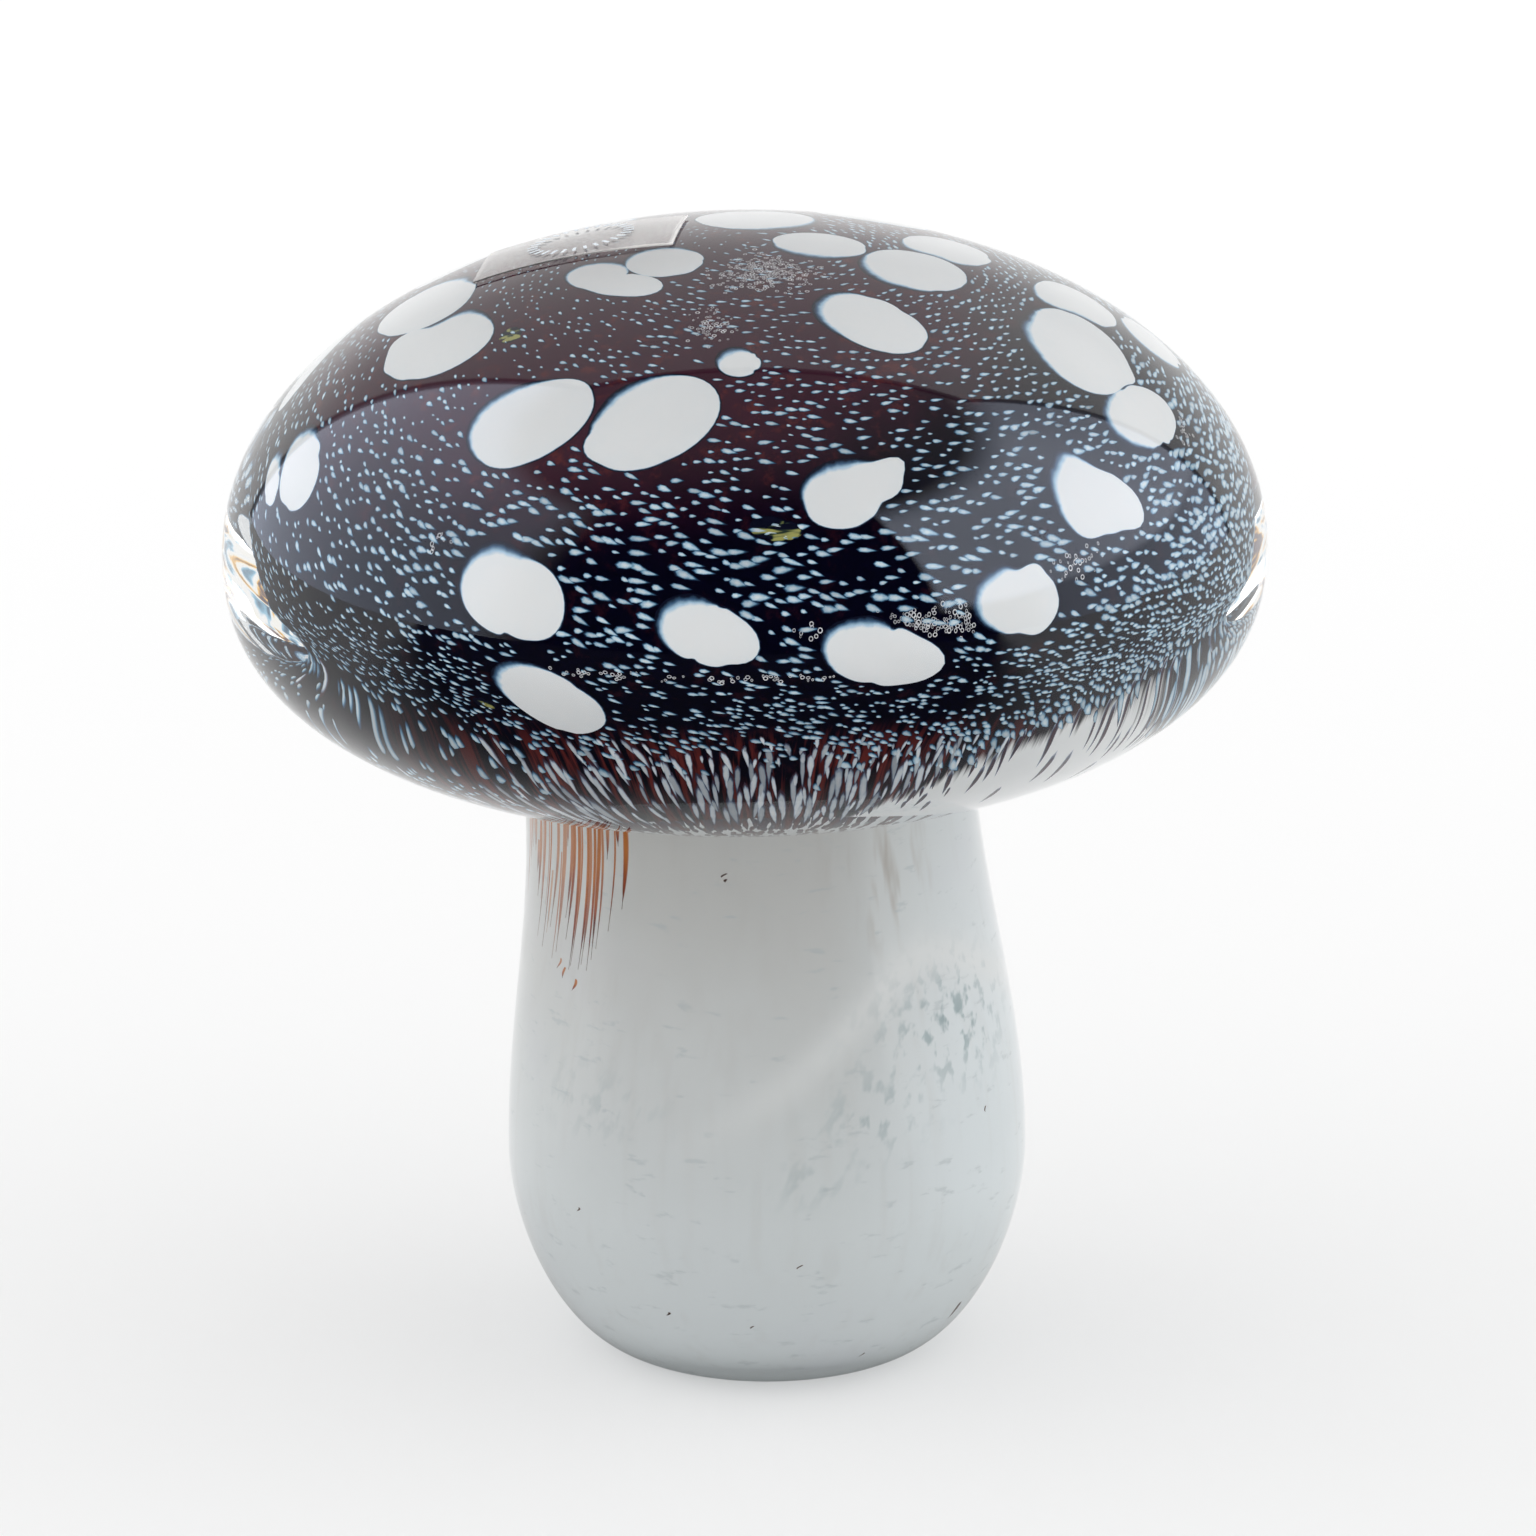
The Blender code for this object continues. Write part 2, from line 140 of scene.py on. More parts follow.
def new_tree(name, inputs):
    """A Geometry Nodes tree with named inputs, its input node's outputs and its output node."""
    tree = bpy.data.node_groups.new(name, "GeometryNodeTree")
    tree.interface.new_socket("Geometry", in_out="INPUT", socket_type="NodeSocketGeometry")
    for label, kind in inputs.items():
        tree.interface.new_socket(label, in_out="INPUT", socket_type="NodeSocket" + kind)
    tree.interface.new_socket("Geometry", in_out="OUTPUT", socket_type="NodeSocketGeometry")
    return tree, tree.nodes.new("NodeGroupInput").outputs


def end_tree(tree, geometry, finish):
    """Realize the instances, set the material and give the result out."""
    real = node(tree, "GeometryNodeRealizeInstances", {"Geometry": geometry})
    painted = node(tree, "GeometryNodeSetMaterial", {"Geometry": real.outputs[0], "Material": finish})
    node(tree, "NodeGroupOutput", {"Geometry": painted.outputs[0]})


def grow(tree, host, values):
    """Run a tree on a mesh and keep the plain mesh that comes out."""
    carrier = bpy.data.objects.new("carrier", host)
    bpy.context.scene.collection.objects.link(carrier)
    modifier = carrier.modifiers.new(tree.name, "NODES")
    modifier.node_group = tree
    sockets = tree.interface.items_tree
    identifiers = {item.name: item.identifier for item in sockets if item.in_out == "INPUT"}
    for label, value in values.items():
        modifier[identifiers[label]] = value
    graph = bpy.context.evaluated_depsgraph_get()
    shown = carrier.evaluated_get(graph)
    mesh = bpy.data.meshes.new_from_object(shown, preserve_all_data_layers=True, depsgraph=graph)
    bpy.data.objects.remove(carrier)
    return mesh


# %% Helper that adds a finished piece


def piece(name, mesh, finish, stands_for=()):
    """Show a mesh as a piece that rides on the frame and stands for some of its nodes."""
    made = bpy.data.objects.new(name, mesh)
    bpy.context.scene.collection.objects.link(made)
    mesh.name = name
    mesh.materials.clear()
    mesh.materials.append(finish)
    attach(made, "root")
    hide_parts(*stands_for)
    return made


# %% [markdown]
# Glass finishes come next. Clear crystal is pure transmission, with its index of refraction on
# the shader's own socket. Depth painted on a solid cap would be cheaper, but what lies inside would
# not shift as the view moves. A very faint bump stands for the fire-polished skin, which is never
# quite as even as a lens. The layers inside have no gloss of their own, because glass fused to
# glass has no surface there.
#
# Some light runs round and round inside the rim. A renderer gives such a path up after a few
# bounces and shows black, so the finish hands it white light at the fourth.

# %% Helpers for shaders


def new_finish(name, constants):
    """A Principled material and its shader node, with its constant values set."""
    finish = bpy.data.materials.new(name)
    finish.use_nodes = True
    shader = finish.node_tree.nodes["Principled BSDF"]
    for label, value in constants.items():
        shader.inputs[label].default_value = value
    return finish, finish.node_tree, shader


def read(tree, name, output="Fac"):
    """A value that the mesh carries."""
    return node(tree, "ShaderNodeAttribute", attribute_name=name).outputs[output]


def noise(tree, vector, scale, detail=2.0, roughness=0.5):
    sockets = {"Vector": vector, "Scale": scale, "Detail": detail, "Roughness": roughness}
    return node(tree, "ShaderNodeTexNoise", sockets).outputs["Fac"]


def in_place(tree):
    """Object coordinates, which are the frame's own, because every piece sits at the origin."""
    return node(tree, "ShaderNodeTexCoord").outputs["Object"]


def stretched(tree, vector, scale):
    return node(tree, "ShaderNodeMapping", {"Vector": vector, "Scale": scale}).outputs[0]


def ramp(tree, factor, stops):
    """A colour ramp with (position, colour) stops."""
    made = node(tree, "ShaderNodeValToRGB", {"Fac": factor})
    elements = made.color_ramp.elements
    for index, (position, colour) in enumerate(stops):
        stop = elements[index] if index < 2 else elements.new(position)
        stop.position = position
        stop.color = (*colour, 1.0)
    return made.outputs["Color"]


def blend(tree, factor, first, second):
    """Mix two colours, given as values or sockets."""
    made = node(tree, "ShaderNodeMix", {"Factor": factor}, data_type="RGBA")
    for slot, colour in ((6, first), (7, second)):
        if isinstance(colour, bpy.types.NodeSocket):
            tree.links.new(colour, made.inputs[slot])
        else:
            made.inputs[slot].default_value = (*colour, 1.0)
    return made.outputs[2]


def span(tree, value, low, high):
    """0 below low, 1 above high, eased between."""
    sockets = {"Value": value, "From Min": low, "From Max": high}
    return node(tree, "ShaderNodeMapRange", sockets, interpolation_type="SMOOTHSTEP").outputs[0]


def bump(tree, shader, height, strength, distance):
    made = node(tree, "ShaderNodeBump", {"Height": height, "Strength": strength, "Distance": distance})
    tree.links.new(made.outputs[0], shader.inputs["Normal"])


# %% Clear crystal
CRYSTAL = {"Transmission Weight": 1.0, "IOR": 1.5, "Roughness": 0.0}
BOUNCES_TRAPPED = 4.0
TRAPPED_STRENGTH = 0.9
FRINGE_STOPS = [(0.0, (0.10, 0.14, 0.20)), (0.16, (0.35, 0.62, 0.80)), (0.28, (1.0, 1.0, 1.0)),
                (0.60, (1.0, 0.98, 0.90)), (0.72, (1.0, 0.60, 0.18)), (0.84, (0.16, 0.12, 0.14))]


def trapped_light(tree, shader):
    """Light that has run round inside the rim shows white there, fringed with colours."""
    path = node(tree, "ShaderNodeLightPath").outputs
    trapped = calc(tree, "MULTIPLY", calc(tree, "COMPARE", path["Glossy Depth"], BOUNCES_TRAPPED, 0.5),
                   calc(tree, "LESS_THAN", path["Diffuse Depth"], 0.5))
    split = noise(tree, stretched(tree, in_place(tree), (420.0, 420.0, 160.0)), 1.0)
    tree.links.new(ramp(tree, span(tree, split, 0.30, 0.70), FRINGE_STOPS), shader.inputs["Emission Color"])
    strength = calc(tree, "MULTIPLY", trapped, TRAPPED_STRENGTH)
    tree.links.new(strength, shader.inputs["Emission Strength"])


def crystal(name, tint):
    """Clear glass, drifting a little between colourless and a tint."""
    finish, tree, shader = new_finish(name, CRYSTAL)
    drift = noise(tree, in_place(tree), 40.0)
    tree.links.new(blend(tree, drift, (1.0, 1.0, 1.0), tint), shader.inputs["Base Color"])
    bump(tree, shader, noise(tree, in_place(tree), 60.0, 1.0), 0.04, 0.3 * MM)
    trapped_light(tree, shader)
    finish.cycles.emission_sampling = "NONE"
    return finish


clear_crystal = crystal("clear_crystal", (0.985, 0.995, 0.99))
stem_crystal = crystal("stem_crystal", (0.96, 0.985, 0.97))
print("clear finishes:", clear_crystal.name, stem_crystal.name)

# %% [markdown]
# The cap's skins all follow one rule: a dome above the widest line and a bowl below it, each a
# squashed circle turned round the axis. A sculpted dome would do for one of them, but the layers
# have to nest evenly. So one Geometry Nodes tree bends a flat grid into any of them. Its columns
# go round the axis and its rows run from the crown to the mouth.

# %% The tree that turns a dome


def dome_position(tree, given):
    """Where each point of the flat grid goes on the dome."""
    place = node(tree, "GeometryNodeInputPosition").outputs[0]
    flat = node(tree, "ShaderNodeSeparateXYZ", {0: place}).outputs
    around = calc(tree, "MULTIPLY", flat["X"], math.tau)
    mouth = calc(tree, "RADIANS", given["Mouth"])
    fall = calc(tree, "SUBTRACT", math.pi / 2, mouth)
    share = calc(tree, "SUBTRACT", 0.5, flat["Y"])
    slope = calc(tree, "SUBTRACT", math.pi / 2, calc(tree, "MULTIPLY", fall, share))
    below = calc(tree, "LESS_THAN", slope, 0.0)
    bowl_power = calc(tree, "SUBTRACT", calc(tree, "DIVIDE", 2.0, given["Fullness"]), 1.0)
    power = calc(tree, "MULTIPLY_ADD", below, bowl_power, 1.0)
    across = calc(tree, "POWER", calc(tree, "ABSOLUTE", calc(tree, "COSINE", slope)), power)
    along = calc(tree, "POWER", calc(tree, "ABSOLUTE", calc(tree, "SINE", slope)), power)
    both = calc(tree, "ADD", given["Rise"], given["Drop"])
    height = calc(tree, "SUBTRACT", given["Rise"], calc(tree, "MULTIPLY", both, below))
    radius = calc(tree, "MULTIPLY", given["Radius"], across)
    x = calc(tree, "MULTIPLY", radius, calc(tree, "SINE", around))
    y = calc(tree, "MULTIPLY", radius, calc(tree, "COSINE", around))
    sockets = {"X": x, "Y": calc(tree, "MULTIPLY", y, -1.0), "Z": calc(tree, "MULTIPLY", height, along)}
    return node(tree, "ShaderNodeCombineXYZ", sockets).outputs[0]


def make_dome_tree():
    """A flat grid, bent into a dome and merged where its sides meet."""
    sizes = {"Radius": "Float", "Rise": "Float", "Drop": "Float", "Fullness": "Float"}
    rest = {"Mouth": "Float", "Around": "Int", "Down": "Int", "Finish": "Material"}
    tree, given = new_tree("turned_dome", sizes | rest)
    counts = {"Vertices X": given["Around"], "Vertices Y": given["Down"], "Size X": 1.0, "Size Y": 1.0}
    grid = node(tree, "GeometryNodeMeshGrid", counts)
    place = dome_position(tree, given)
    bent = node(tree, "GeometryNodeSetPosition", {"Geometry": grid.outputs[0], "Position": place})
    closed = node(tree, "GeometryNodeMergeByDistance", {"Geometry": bent.outputs[0], "Distance": 1e-6})
    end_tree(tree, closed.outputs[0], given["Finish"])
    return tree


dome_tree = make_dome_tree()
print("the dome tree has", len(dome_tree.nodes), "nodes")

# %% A dome skin from the tree
AROUND = 241
DOWN = 121
SHARP_FROM = math.radians(40)


def dome_skin(radius, rise, drop, fullness, mouth, place, finish):
    """An open skin from the crown to the slope angle of its mouth."""
    values = {"Radius": radius, "Rise": rise, "Drop": drop, "Fullness": fullness}
    values |= {"Mouth": mouth, "Around": AROUND, "Down": DOWN, "Finish": finish}
    mesh = grow(dome_tree, bpy.data.meshes.new("flat"), values)
    mesh.transform(place)
    return mesh


def plain_mesh(data, name):
    """Turn bmesh data into a mesh and let the data go."""
    mesh = bpy.data.meshes.new(name)
    data.to_mesh(mesh)
    data.free()
    return mesh


def polished(mesh):
    """Shade a mesh smooth, except at its sharp corners."""
    mesh.shade_smooth()
    mesh.set_sharp_from_angle(angle=SHARP_FROM)
    return mesh


def close_up(skins):
    """Join one or two open skins at their mouths into a closed mesh that faces out."""
    data = bmesh.new()
    for skin in skins:
        data.from_mesh(skin)
    mouth = [edge for edge in data.edges if edge.is_boundary]
    if len(skins) > 1:
        bmesh.ops.bridge_loops(data, edges=mouth)
    else:
        bmesh.ops.holes_fill(data, edges=mouth)
    bmesh.ops.recalc_face_normals(data, faces=data.faces)
    return polished(plain_mesh(data, "closed"))


cap_skin = dome_skin(CAP_RADIUS, CAP_RISE, CAP_DROP, BOWL_FULLNESS, NECK_SLOPE, cap_place, clear_crystal)
cap_glass = piece("cap_glass", close_up([cap_skin]), clear_crystal, ["cap_casing"])
print("cap glass:", len(cap_glass.data.polygons), "faces")

# %% [markdown]
# The stem is a turned shape too, but its outline changes rule on the way up: a rounded foot, a
# belly, and a shoulder that eases into the neck. It is simplest as an outline of points, turned
# round the axis in rings of faces. A spin operator would do that too, but it lists its faces in
# another order each time. The whole neck then leans to meet the cap's.

# %% Outline of the stem
TURN_STEPS = 160
FOOT_STEPS = 40
RISE_STEPS = 50


def ring_faces(count, rings):
    """Quads between rings, a fan in the middle and a fan underneath."""
    faces, top, bottom = [], count * rings, count * rings + 1
    for k in range(count):
        following = (k + 1) % count
        for ring in range(rings - 1):
            outer, inner = ring * count, (ring + 1) * count
            faces.append((outer + k, outer + following, inner + following, inner + k))
        inmost = (rings - 1) * count
        faces += [(inmost + k, inmost + following, top), (following, k, bottom)]
    return faces


def turned(outline, lean=None):
    """Turn (radius, height) points round the axis into a closed mesh. Both ends lie on the axis."""
    way = 1 if outline[-1][1] > outline[0][1] else -1
    points = []
    for radius, height in outline[1:-1]:
        shift = lean(height) if lean else 0.0
        for turn in np.linspace(0, way * math.tau, TURN_STEPS, endpoint=False):
            points.append((radius * math.cos(turn) + shift, radius * math.sin(turn), height))
    for height in (outline[-1][1], outline[0][1]):
        points.append((lean(height) if lean else 0.0, 0.0, height))
    mesh = bpy.data.meshes.new("turned")
    mesh.from_pydata(points, [], ring_faces(TURN_STEPS, len(outline) - 2))
    return polished(mesh)


def climb(height):
    """How far a height is from the belly, 0, to the neck's joint, 1."""
    return min(1.0, max(0.0, (height - BELLY_HEIGHT) / (NECK_HEIGHT - BELLY_HEIGHT)))


def shoulder(height, neck, inset):
    """Radius above the belly, easing in to the neck."""
    eased = (1 - math.cos(math.pi * climb(height))) / 2
    return BELLY_RADIUS - inset - (BELLY_RADIUS - inset - neck) * eased


def stem_outline(neck, inset, floor, top):
    """From the middle of the foot over the belly to the neck and across its top."""
    outline = [(0.0, floor)]
    for angle in np.radians(np.linspace(90, 0, FOOT_STEPS)):
        along = math.sin(angle) ** (2 / FOOT_FULLNESS)
        across = abs(math.cos(angle)) ** (2 / FOOT_FULLNESS)
        radius = FOOT_RADIUS - inset + (BELLY_RADIUS - FOOT_RADIUS) * across
        outline.append((radius, BELLY_HEIGHT - (BELLY_HEIGHT - floor) * along))
    for height in np.linspace(BELLY_HEIGHT, top, RISE_STEPS)[1:]:
        outline.append((shoulder(height, neck, inset), height))
    return outline + [(0.0, top)]


def stem_lean(height, extra=0.0):
    """How far the stem leans to the right at a height, to meet the cap's neck."""
    neck_shift = CAP_SHIFT + (NECK_HEIGHT - CAP_HEIGHT) * math.sin(CAP_TILT) + extra
    return neck_shift * climb(height) ** 2


def heart_lean(height):
    return stem_lean(height, HEART_SHIFT)


# %% Stem glass
JOINT_LAP = 0.05 * MM
stem_shape = turned(stem_outline(NECK_RADIUS, 0.0, 0.0, NECK_HEIGHT + JOINT_LAP), stem_lean)
stem_glass = piece("stem_glass", stem_shape, stem_crystal, ["stem_casing"])
print("stem glass:", len(stem_glass.data.polygons), "faces")

# %% [markdown]
# Everything on the cap's heart is placed by two angles: how far round it lies, and how high on
# the dome. The heart's meshes carry both, so that a finish or a scatter can ask where it is.

# %% Where things lie on the heart


def in_heart(points):
    """Points in the heart's own coordinates."""
    return points @ to_heart[:3, :3].T + to_heart[:3, 3]


def heart_angles(points):
    """Azimuth, 0 at the front and + to the right, and slope angle, 90 at the crown, in degrees."""
    local = in_heart(points)
    across = np.hypot(local[:, 0], local[:, 1]) / HEART_RADIUS
    high = np.where(local[:, 2] >= 0, HEART_RISE, HEART_DROP)
    azimuth = np.degrees(np.arctan2(local[:, 0], -local[:, 1]))
    return azimuth, np.degrees(np.arctan2(local[:, 2] / high, across))


def by(places, table):
    """Read amounts off a table of {place: amount}, with straight lines between its entries."""
    return np.interp(places, list(table), list(table.values()))


def points_of(mesh):
    """The points of a mesh as one array."""
    flat = np.empty(len(mesh.vertices) * 3, np.float32)
    mesh.vertices.foreach_get("co", flat)
    return flat.reshape(-1, 3).astype(float)


def keep(mesh, name, values):
    """Store one number or vector for each point of a mesh."""
    values = np.asarray(values, np.float32)
    kind, key = ("FLOAT", "value") if values.ndim == 1 else ("FLOAT_VECTOR", "vector")
    attribute = mesh.attributes.new(name, kind, "POINT")
    attribute.data.foreach_set(key, values.ravel())


def mark_heart(mesh):
    """Give a skin its slope, 1 at the crown to -1 below, and seamless round-and-down coordinates."""
    azimuth, slope = heart_angles(points_of(mesh))
    turn = np.radians(azimuth)
    keep(mesh, "slope", slope / 90)
    keep(mesh, "flow", np.column_stack([np.cos(turn), np.sin(turn), slope / 90]))


# %% [markdown]
# The overlay is dark aubergine glass, almost black where it is thick. Red-brown shows through on
# the dome and again near the lower edge, where the glass was drawn thin. To the lower right it
# has slipped off the opal altogether. A painted map would need a seam somewhere. Noise that reads
# the skin's own slope and turn has none, and its grain runs down the glass as it was drawn.

# %% Finish of the overlay
WINE = (0.046, 0.009, 0.023)
INK = (0.0012, 0.0012, 0.0075)
RUSSET = (0.13, 0.022, 0.020)
OPAL = (0.93, 0.945, 0.95)
INSIDE = {"Specular IOR Level": 0.0, "Roughness": 0.6}


def overlay_finish():
    """Ink at the brim, wine on the dome, russet where it is thin and opal where it is bare."""
    finish, tree, shader = new_finish("aubergine_overlay", INSIDE)
    slope, flow, place = read(tree, "slope"), read(tree, "flow", "Vector"), in_place(tree)
    cloud = noise(tree, place, 90.0, 3.0)
    leftward = node(tree, "ShaderNodeSeparateXYZ", {0: flow}).outputs["Y"]
    redder = calc(tree, "MULTIPLY_ADD", leftward, -0.20, calc(tree, "MULTIPLY", cloud, 0.3))
    high = span(tree, calc(tree, "ADD", slope, redder), 0.34, 0.68)
    ground = blend(tree, high, INK, WINE)
    glint = span(tree, noise(tree, place, 520.0, 4.0, 0.7), 0.54, 0.68)
    shown = calc(tree, "MULTIPLY_ADD", high, 0.5, 0.1)
    ground = blend(tree, calc(tree, "MULTIPLY", glint, shown), ground, RUSSET)
    drawn = noise(tree, stretched(tree, flow, (38.0, 38.0, 7.0)), 1.0, 3.0, 0.65)
    low = span(tree, slope, -0.38, -0.53)
    ground = blend(tree, calc(tree, "MULTIPLY", low, span(tree, drawn, 0.44, 0.62)), ground, RUSSET)
    bare = calc(tree, "ADD", read(tree, "bare"), calc(tree, "MULTIPLY", drawn, 0.5))
    ground = blend(tree, span(tree, bare, 0.58, 0.74), ground, OPAL)
    tree.links.new(ground, shader.inputs["Base Color"])
    bump(tree, shader, cloud, 0.1, 0.2 * MM)
    return finish


# The slope under which the opal is bare, by azimuth: highest at the right.
BARE_BELOW = {-10: -72, 25: -54, 38: -47.5, 51: -42.7, 65: -38.2, 75: -35.4, 95: -34, 120: -35.5,
              145: -46, 165: -72}


def bare_below(azimuth):
    return by(azimuth, BARE_BELOW)


def bare_share(mesh):
    """1 where the overlay is worn away to the opal, 0 where it is whole."""
    azimuth, slope = heart_angles(points_of(mesh))
    return by(slope - bare_below(azimuth), {-6: 1, 0: 0.45, 5: 0})


aubergine = overlay_finish()

# %% The overlay's shell
outer_skin = dome_skin(HEART_RADIUS, HEART_RISE, HEART_DROP, 2.0, OVERLAY_EDGE, heart_place, aubergine)
inner_sizes = (HEART_RADIUS - OVERLAY_WALL, HEART_RISE - OVERLAY_WALL, HEART_DROP - OVERLAY_WALL / 2)
inner_skin = dome_skin(*inner_sizes, 2.0, OVERLAY_EDGE, heart_place, aubergine)
shell = close_up([outer_skin, inner_skin])
mark_heart(shell)
keep(shell, "bare", bare_share(shell))
overlay = piece("coloured_overlay", shell, aubergine, ["cap_overlay"])
print("overlay:", len(overlay.data.polygons), "faces")

# %% [markdown]
# Under the overlay is the opal heart. It only shows below the overlay's edge, where it turns down
# through the clear glass into the stem, with slivers of the overlay drawn along it. Its bend has no
# simple rule, so it is turned from an outline, as the stem was.

# %% The opal heart of the cap


def heart_outline():
    """From inside the overlay out to the flare, then round the bend and down the neck."""
    inner = HEART_RADIUS - OVERLAY_WALL - LAYER_GAP
    outline = [(0.0, HEART_RISE - OVERLAY_WALL - LAYER_GAP)]
    for slope in np.radians(np.linspace(88, 0, 40)):
        outline.append((inner * math.cos(slope), outline[0][1] * math.sin(slope)))
    for slope in np.radians(np.linspace(0, FLARE_SLOPE, 30)[1:]):
        near = max(0.0, 1 - (slope - math.radians(FLARE_SLOPE)) / 0.25)
        radius = inner + (HEART_RADIUS - inner) * near
        drop = HEART_DROP - (OVERLAY_WALL / 2 + LAYER_GAP) * (1 - near)
        outline.append((radius * math.cos(slope), drop * math.sin(slope)))
    first = Vector(outline[-1])
    corner = Vector((HEART_NECK, first.y - FLARE_FALL))
    last = Vector((HEART_NECK, corner.y - FLARE))
    for t in np.linspace(0, 1, 12)[1:]:
        point = first * (1 - t) ** 2 + corner * 2 * t * (1 - t) + last * t ** 2
        outline.append((point.x, point.y))
    end = NECK_HEIGHT - CAP_HEIGHT - JOINT_LAP
    return outline + [(HEART_NECK, end), (0.0, end)]


def opal_finish(name, colour, milky):
    """Milky opal with faint clouds and upright threads."""
    finish, tree, shader = new_finish(name, INSIDE)
    place = in_place(tree)
    clouds = noise(tree, place, 70.0, 4.0)
    threads = noise(tree, stretched(tree, place, (900.0, 900.0, 60.0)), 1.0, 2.0)
    mixed = calc(tree, "ADD", calc(tree, "MULTIPLY", clouds, 0.7), calc(tree, "MULTIPLY", threads, 0.3))
    tree.links.new(blend(tree, span(tree, mixed, 0.35, 0.65), colour, milky), shader.inputs["Base Color"])
    return finish


opal_white = opal_finish("opal_white", (0.78, 0.82, 0.84), (0.86, 0.88, 0.89))
heart_shape = turned(heart_outline())
heart_shape.transform(heart_place)
opal_heart = piece("opal_heart", heart_shape, opal_white, ["cap_core"])
print("opal heart:", len(opal_heart.data.polygons), "faces")

# %% [markdown]
# The stem's opal is not even. It is greyer at the neck and bluer towards the foot, and grey-green
# wisps lie in it. A pale band that climbs to the right across its middle, over the wisps, is a
# painted highlight, and the stem's right side is lightened with painted light. The mesh carries
# where the band and the wisps lie, and the finish breaks them up with stretched noise.

# %% Painted highlight band, wisps and clouds on the stem's heart


def stem_angles(points):
    """Azimuth round the leaning stem in degrees, and height in millimetres."""
    lean = np.array([heart_lean(z) for z in points[:, 2]])
    return np.degrees(np.arctan2(points[:, 0] - lean, -points[:, 1])), points[:, 2] / MM


def highlight_band(azimuth, height):
    """1 along a painted highlight band that climbs to the right and falls away at the far side."""
    middle = by(azimuth, {-20: 24, 5: 29, 20: 33, 38: 37.5, 50: 38.6, 62: 37.5, 90: 33, 130: 24})
    fade = by(azimuth, {-25: 0, 0: 0.6, 25: 1, 70: 1, 130: 0.6, 150: 0})
    return fade * np.exp(-(((height - middle) / 2.0) ** 2))


def patch(azimuth, height, around, up, wide, high):
    """A soft-edged oval patch on the stem."""
    return np.exp(-(((azimuth - around) / wide) ** 2) - (((height - up) / high) ** 2))


def stem_finish():
    """Grey-white opal lightened towards the right, which is painted light, with clouds, threads, dashes, the
    painted highlight band and the wisps laid over in turn.
    """
    finish, tree, shader = new_finish("opal_grey", INSIDE)
    place = in_place(tree)
    where = node(tree, "ShaderNodeSeparateXYZ", {0: place}).outputs
    tone = blend(tree, span(tree, where["Z"], 0.055, 0.002), (0.755, 0.75, 0.735), (0.855, 0.895, 0.915))
    # Painted light: the stem is lightened towards its right side.
    tone = blend(tree, span(tree, where["X"], 0.003, 0.018), tone, (0.89, 0.936, 0.96))
    clouds = span(tree, noise(tree, place, 60.0, 4.0), 0.42, 0.68)
    tone = blend(tree, calc(tree, "MULTIPLY", clouds, 0.3), tone, (0.86, 0.89, 0.90))
    lilac = span(tree, noise(tree, stretched(tree, place, (1.0, 1.0, 1.6)), 34.0, 2.0), 0.55, 0.75)
    tone = blend(tree, calc(tree, "MULTIPLY", lilac, 0.35), tone, (0.79, 0.79, 0.87))
    threads = span(tree, noise(tree, stretched(tree, place, (700.0, 700.0, 50.0)), 1.0, 2.0), 0.5, 0.75)
    faint = calc(tree, "MULTIPLY_ADD", read(tree, "echo"), 0.85, 0.08)
    tone = blend(tree, calc(tree, "MULTIPLY", threads, faint), tone, (0.56, 0.52, 0.48))
    dashes = noise(tree, stretched(tree, place, (330.0, 330.0, 1000.0)), 1.0, 3.0, 0.65)
    tone = blend(tree, calc(tree, "MULTIPLY", span(tree, dashes, 0.60, 0.72), 0.5), tone, (0.62, 0.67, 0.69))
    # Painted highlight: a pale band that climbs to the right across the middle.
    tone = blend(tree, calc(tree, "MULTIPLY", read(tree, "highlight_band"), 0.9), tone, (0.95, 0.96, 0.96))
    slanted = node(tree, "ShaderNodeMapping", {"Vector": place, "Rotation": (0.0, -0.45, 0.0)}).outputs[0]
    strokes = noise(tree, stretched(tree, slanted, (900.0, 900.0, 420.0)), 1.0, 2.0, 0.5)
    wisps = calc(tree, "MULTIPLY", span(tree, strokes, 0.50, 0.66), read(tree, "wisps"))
    tone = blend(tree, wisps, tone, (0.40, 0.50, 0.52))
    tree.links.new(tone, shader.inputs["Base Color"])
    return finish


# %% The opal heart of the stem
core_outline = stem_outline(HEART_NECK, STEM_WALL, FOOT_WALL, NECK_HEIGHT + JOINT_LAP)
opal_stem = piece("opal_stem", turned(core_outline, heart_lean), stem_finish(), ["stem_core"])
stem_azimuth, stem_height = stem_angles(points_of(opal_stem.data))
wisp_share = patch(stem_azimuth, stem_height, 55, 32, 21, 4.2)
wisp_share += 0.55 * patch(stem_azimuth, stem_height, 27, 26, 12, 3.0)
wisp_share += 0.3 * patch(stem_azimuth, stem_height, 10, 21, 10, 2.0)
wisp_share += 0.25 * patch(stem_azimuth, stem_height, -45, 26, 18, 3.0)
keep(opal_stem.data, "wisps", np.clip(wisp_share, 0, 1))
keep(opal_stem.data, "highlight_band", highlight_band(stem_azimuth, stem_height))
keep(opal_stem.data, "echo", patch(stem_azimuth, stem_height, 41, 47, 14, 6.0))
print("opal stem:", len(opal_stem.data.polygons), "faces")

# %% [markdown]
# The spots were pressed into the heart one by one. Each CAD solid says where its spot lies and how
# far it reaches, and its outline is read from the faces that lie flush with the heart's skin. Here
# it is rounded, nicked a little and rebuilt as rings, so that the opal can pale towards its middle
# and turn blue where it thins out at the edge. A dark outer ring, wider on one side, is painted
# shadow round it.

# %% Outline of a pressed piece
RIM_POINTS = 56
FLUSH = 0.994


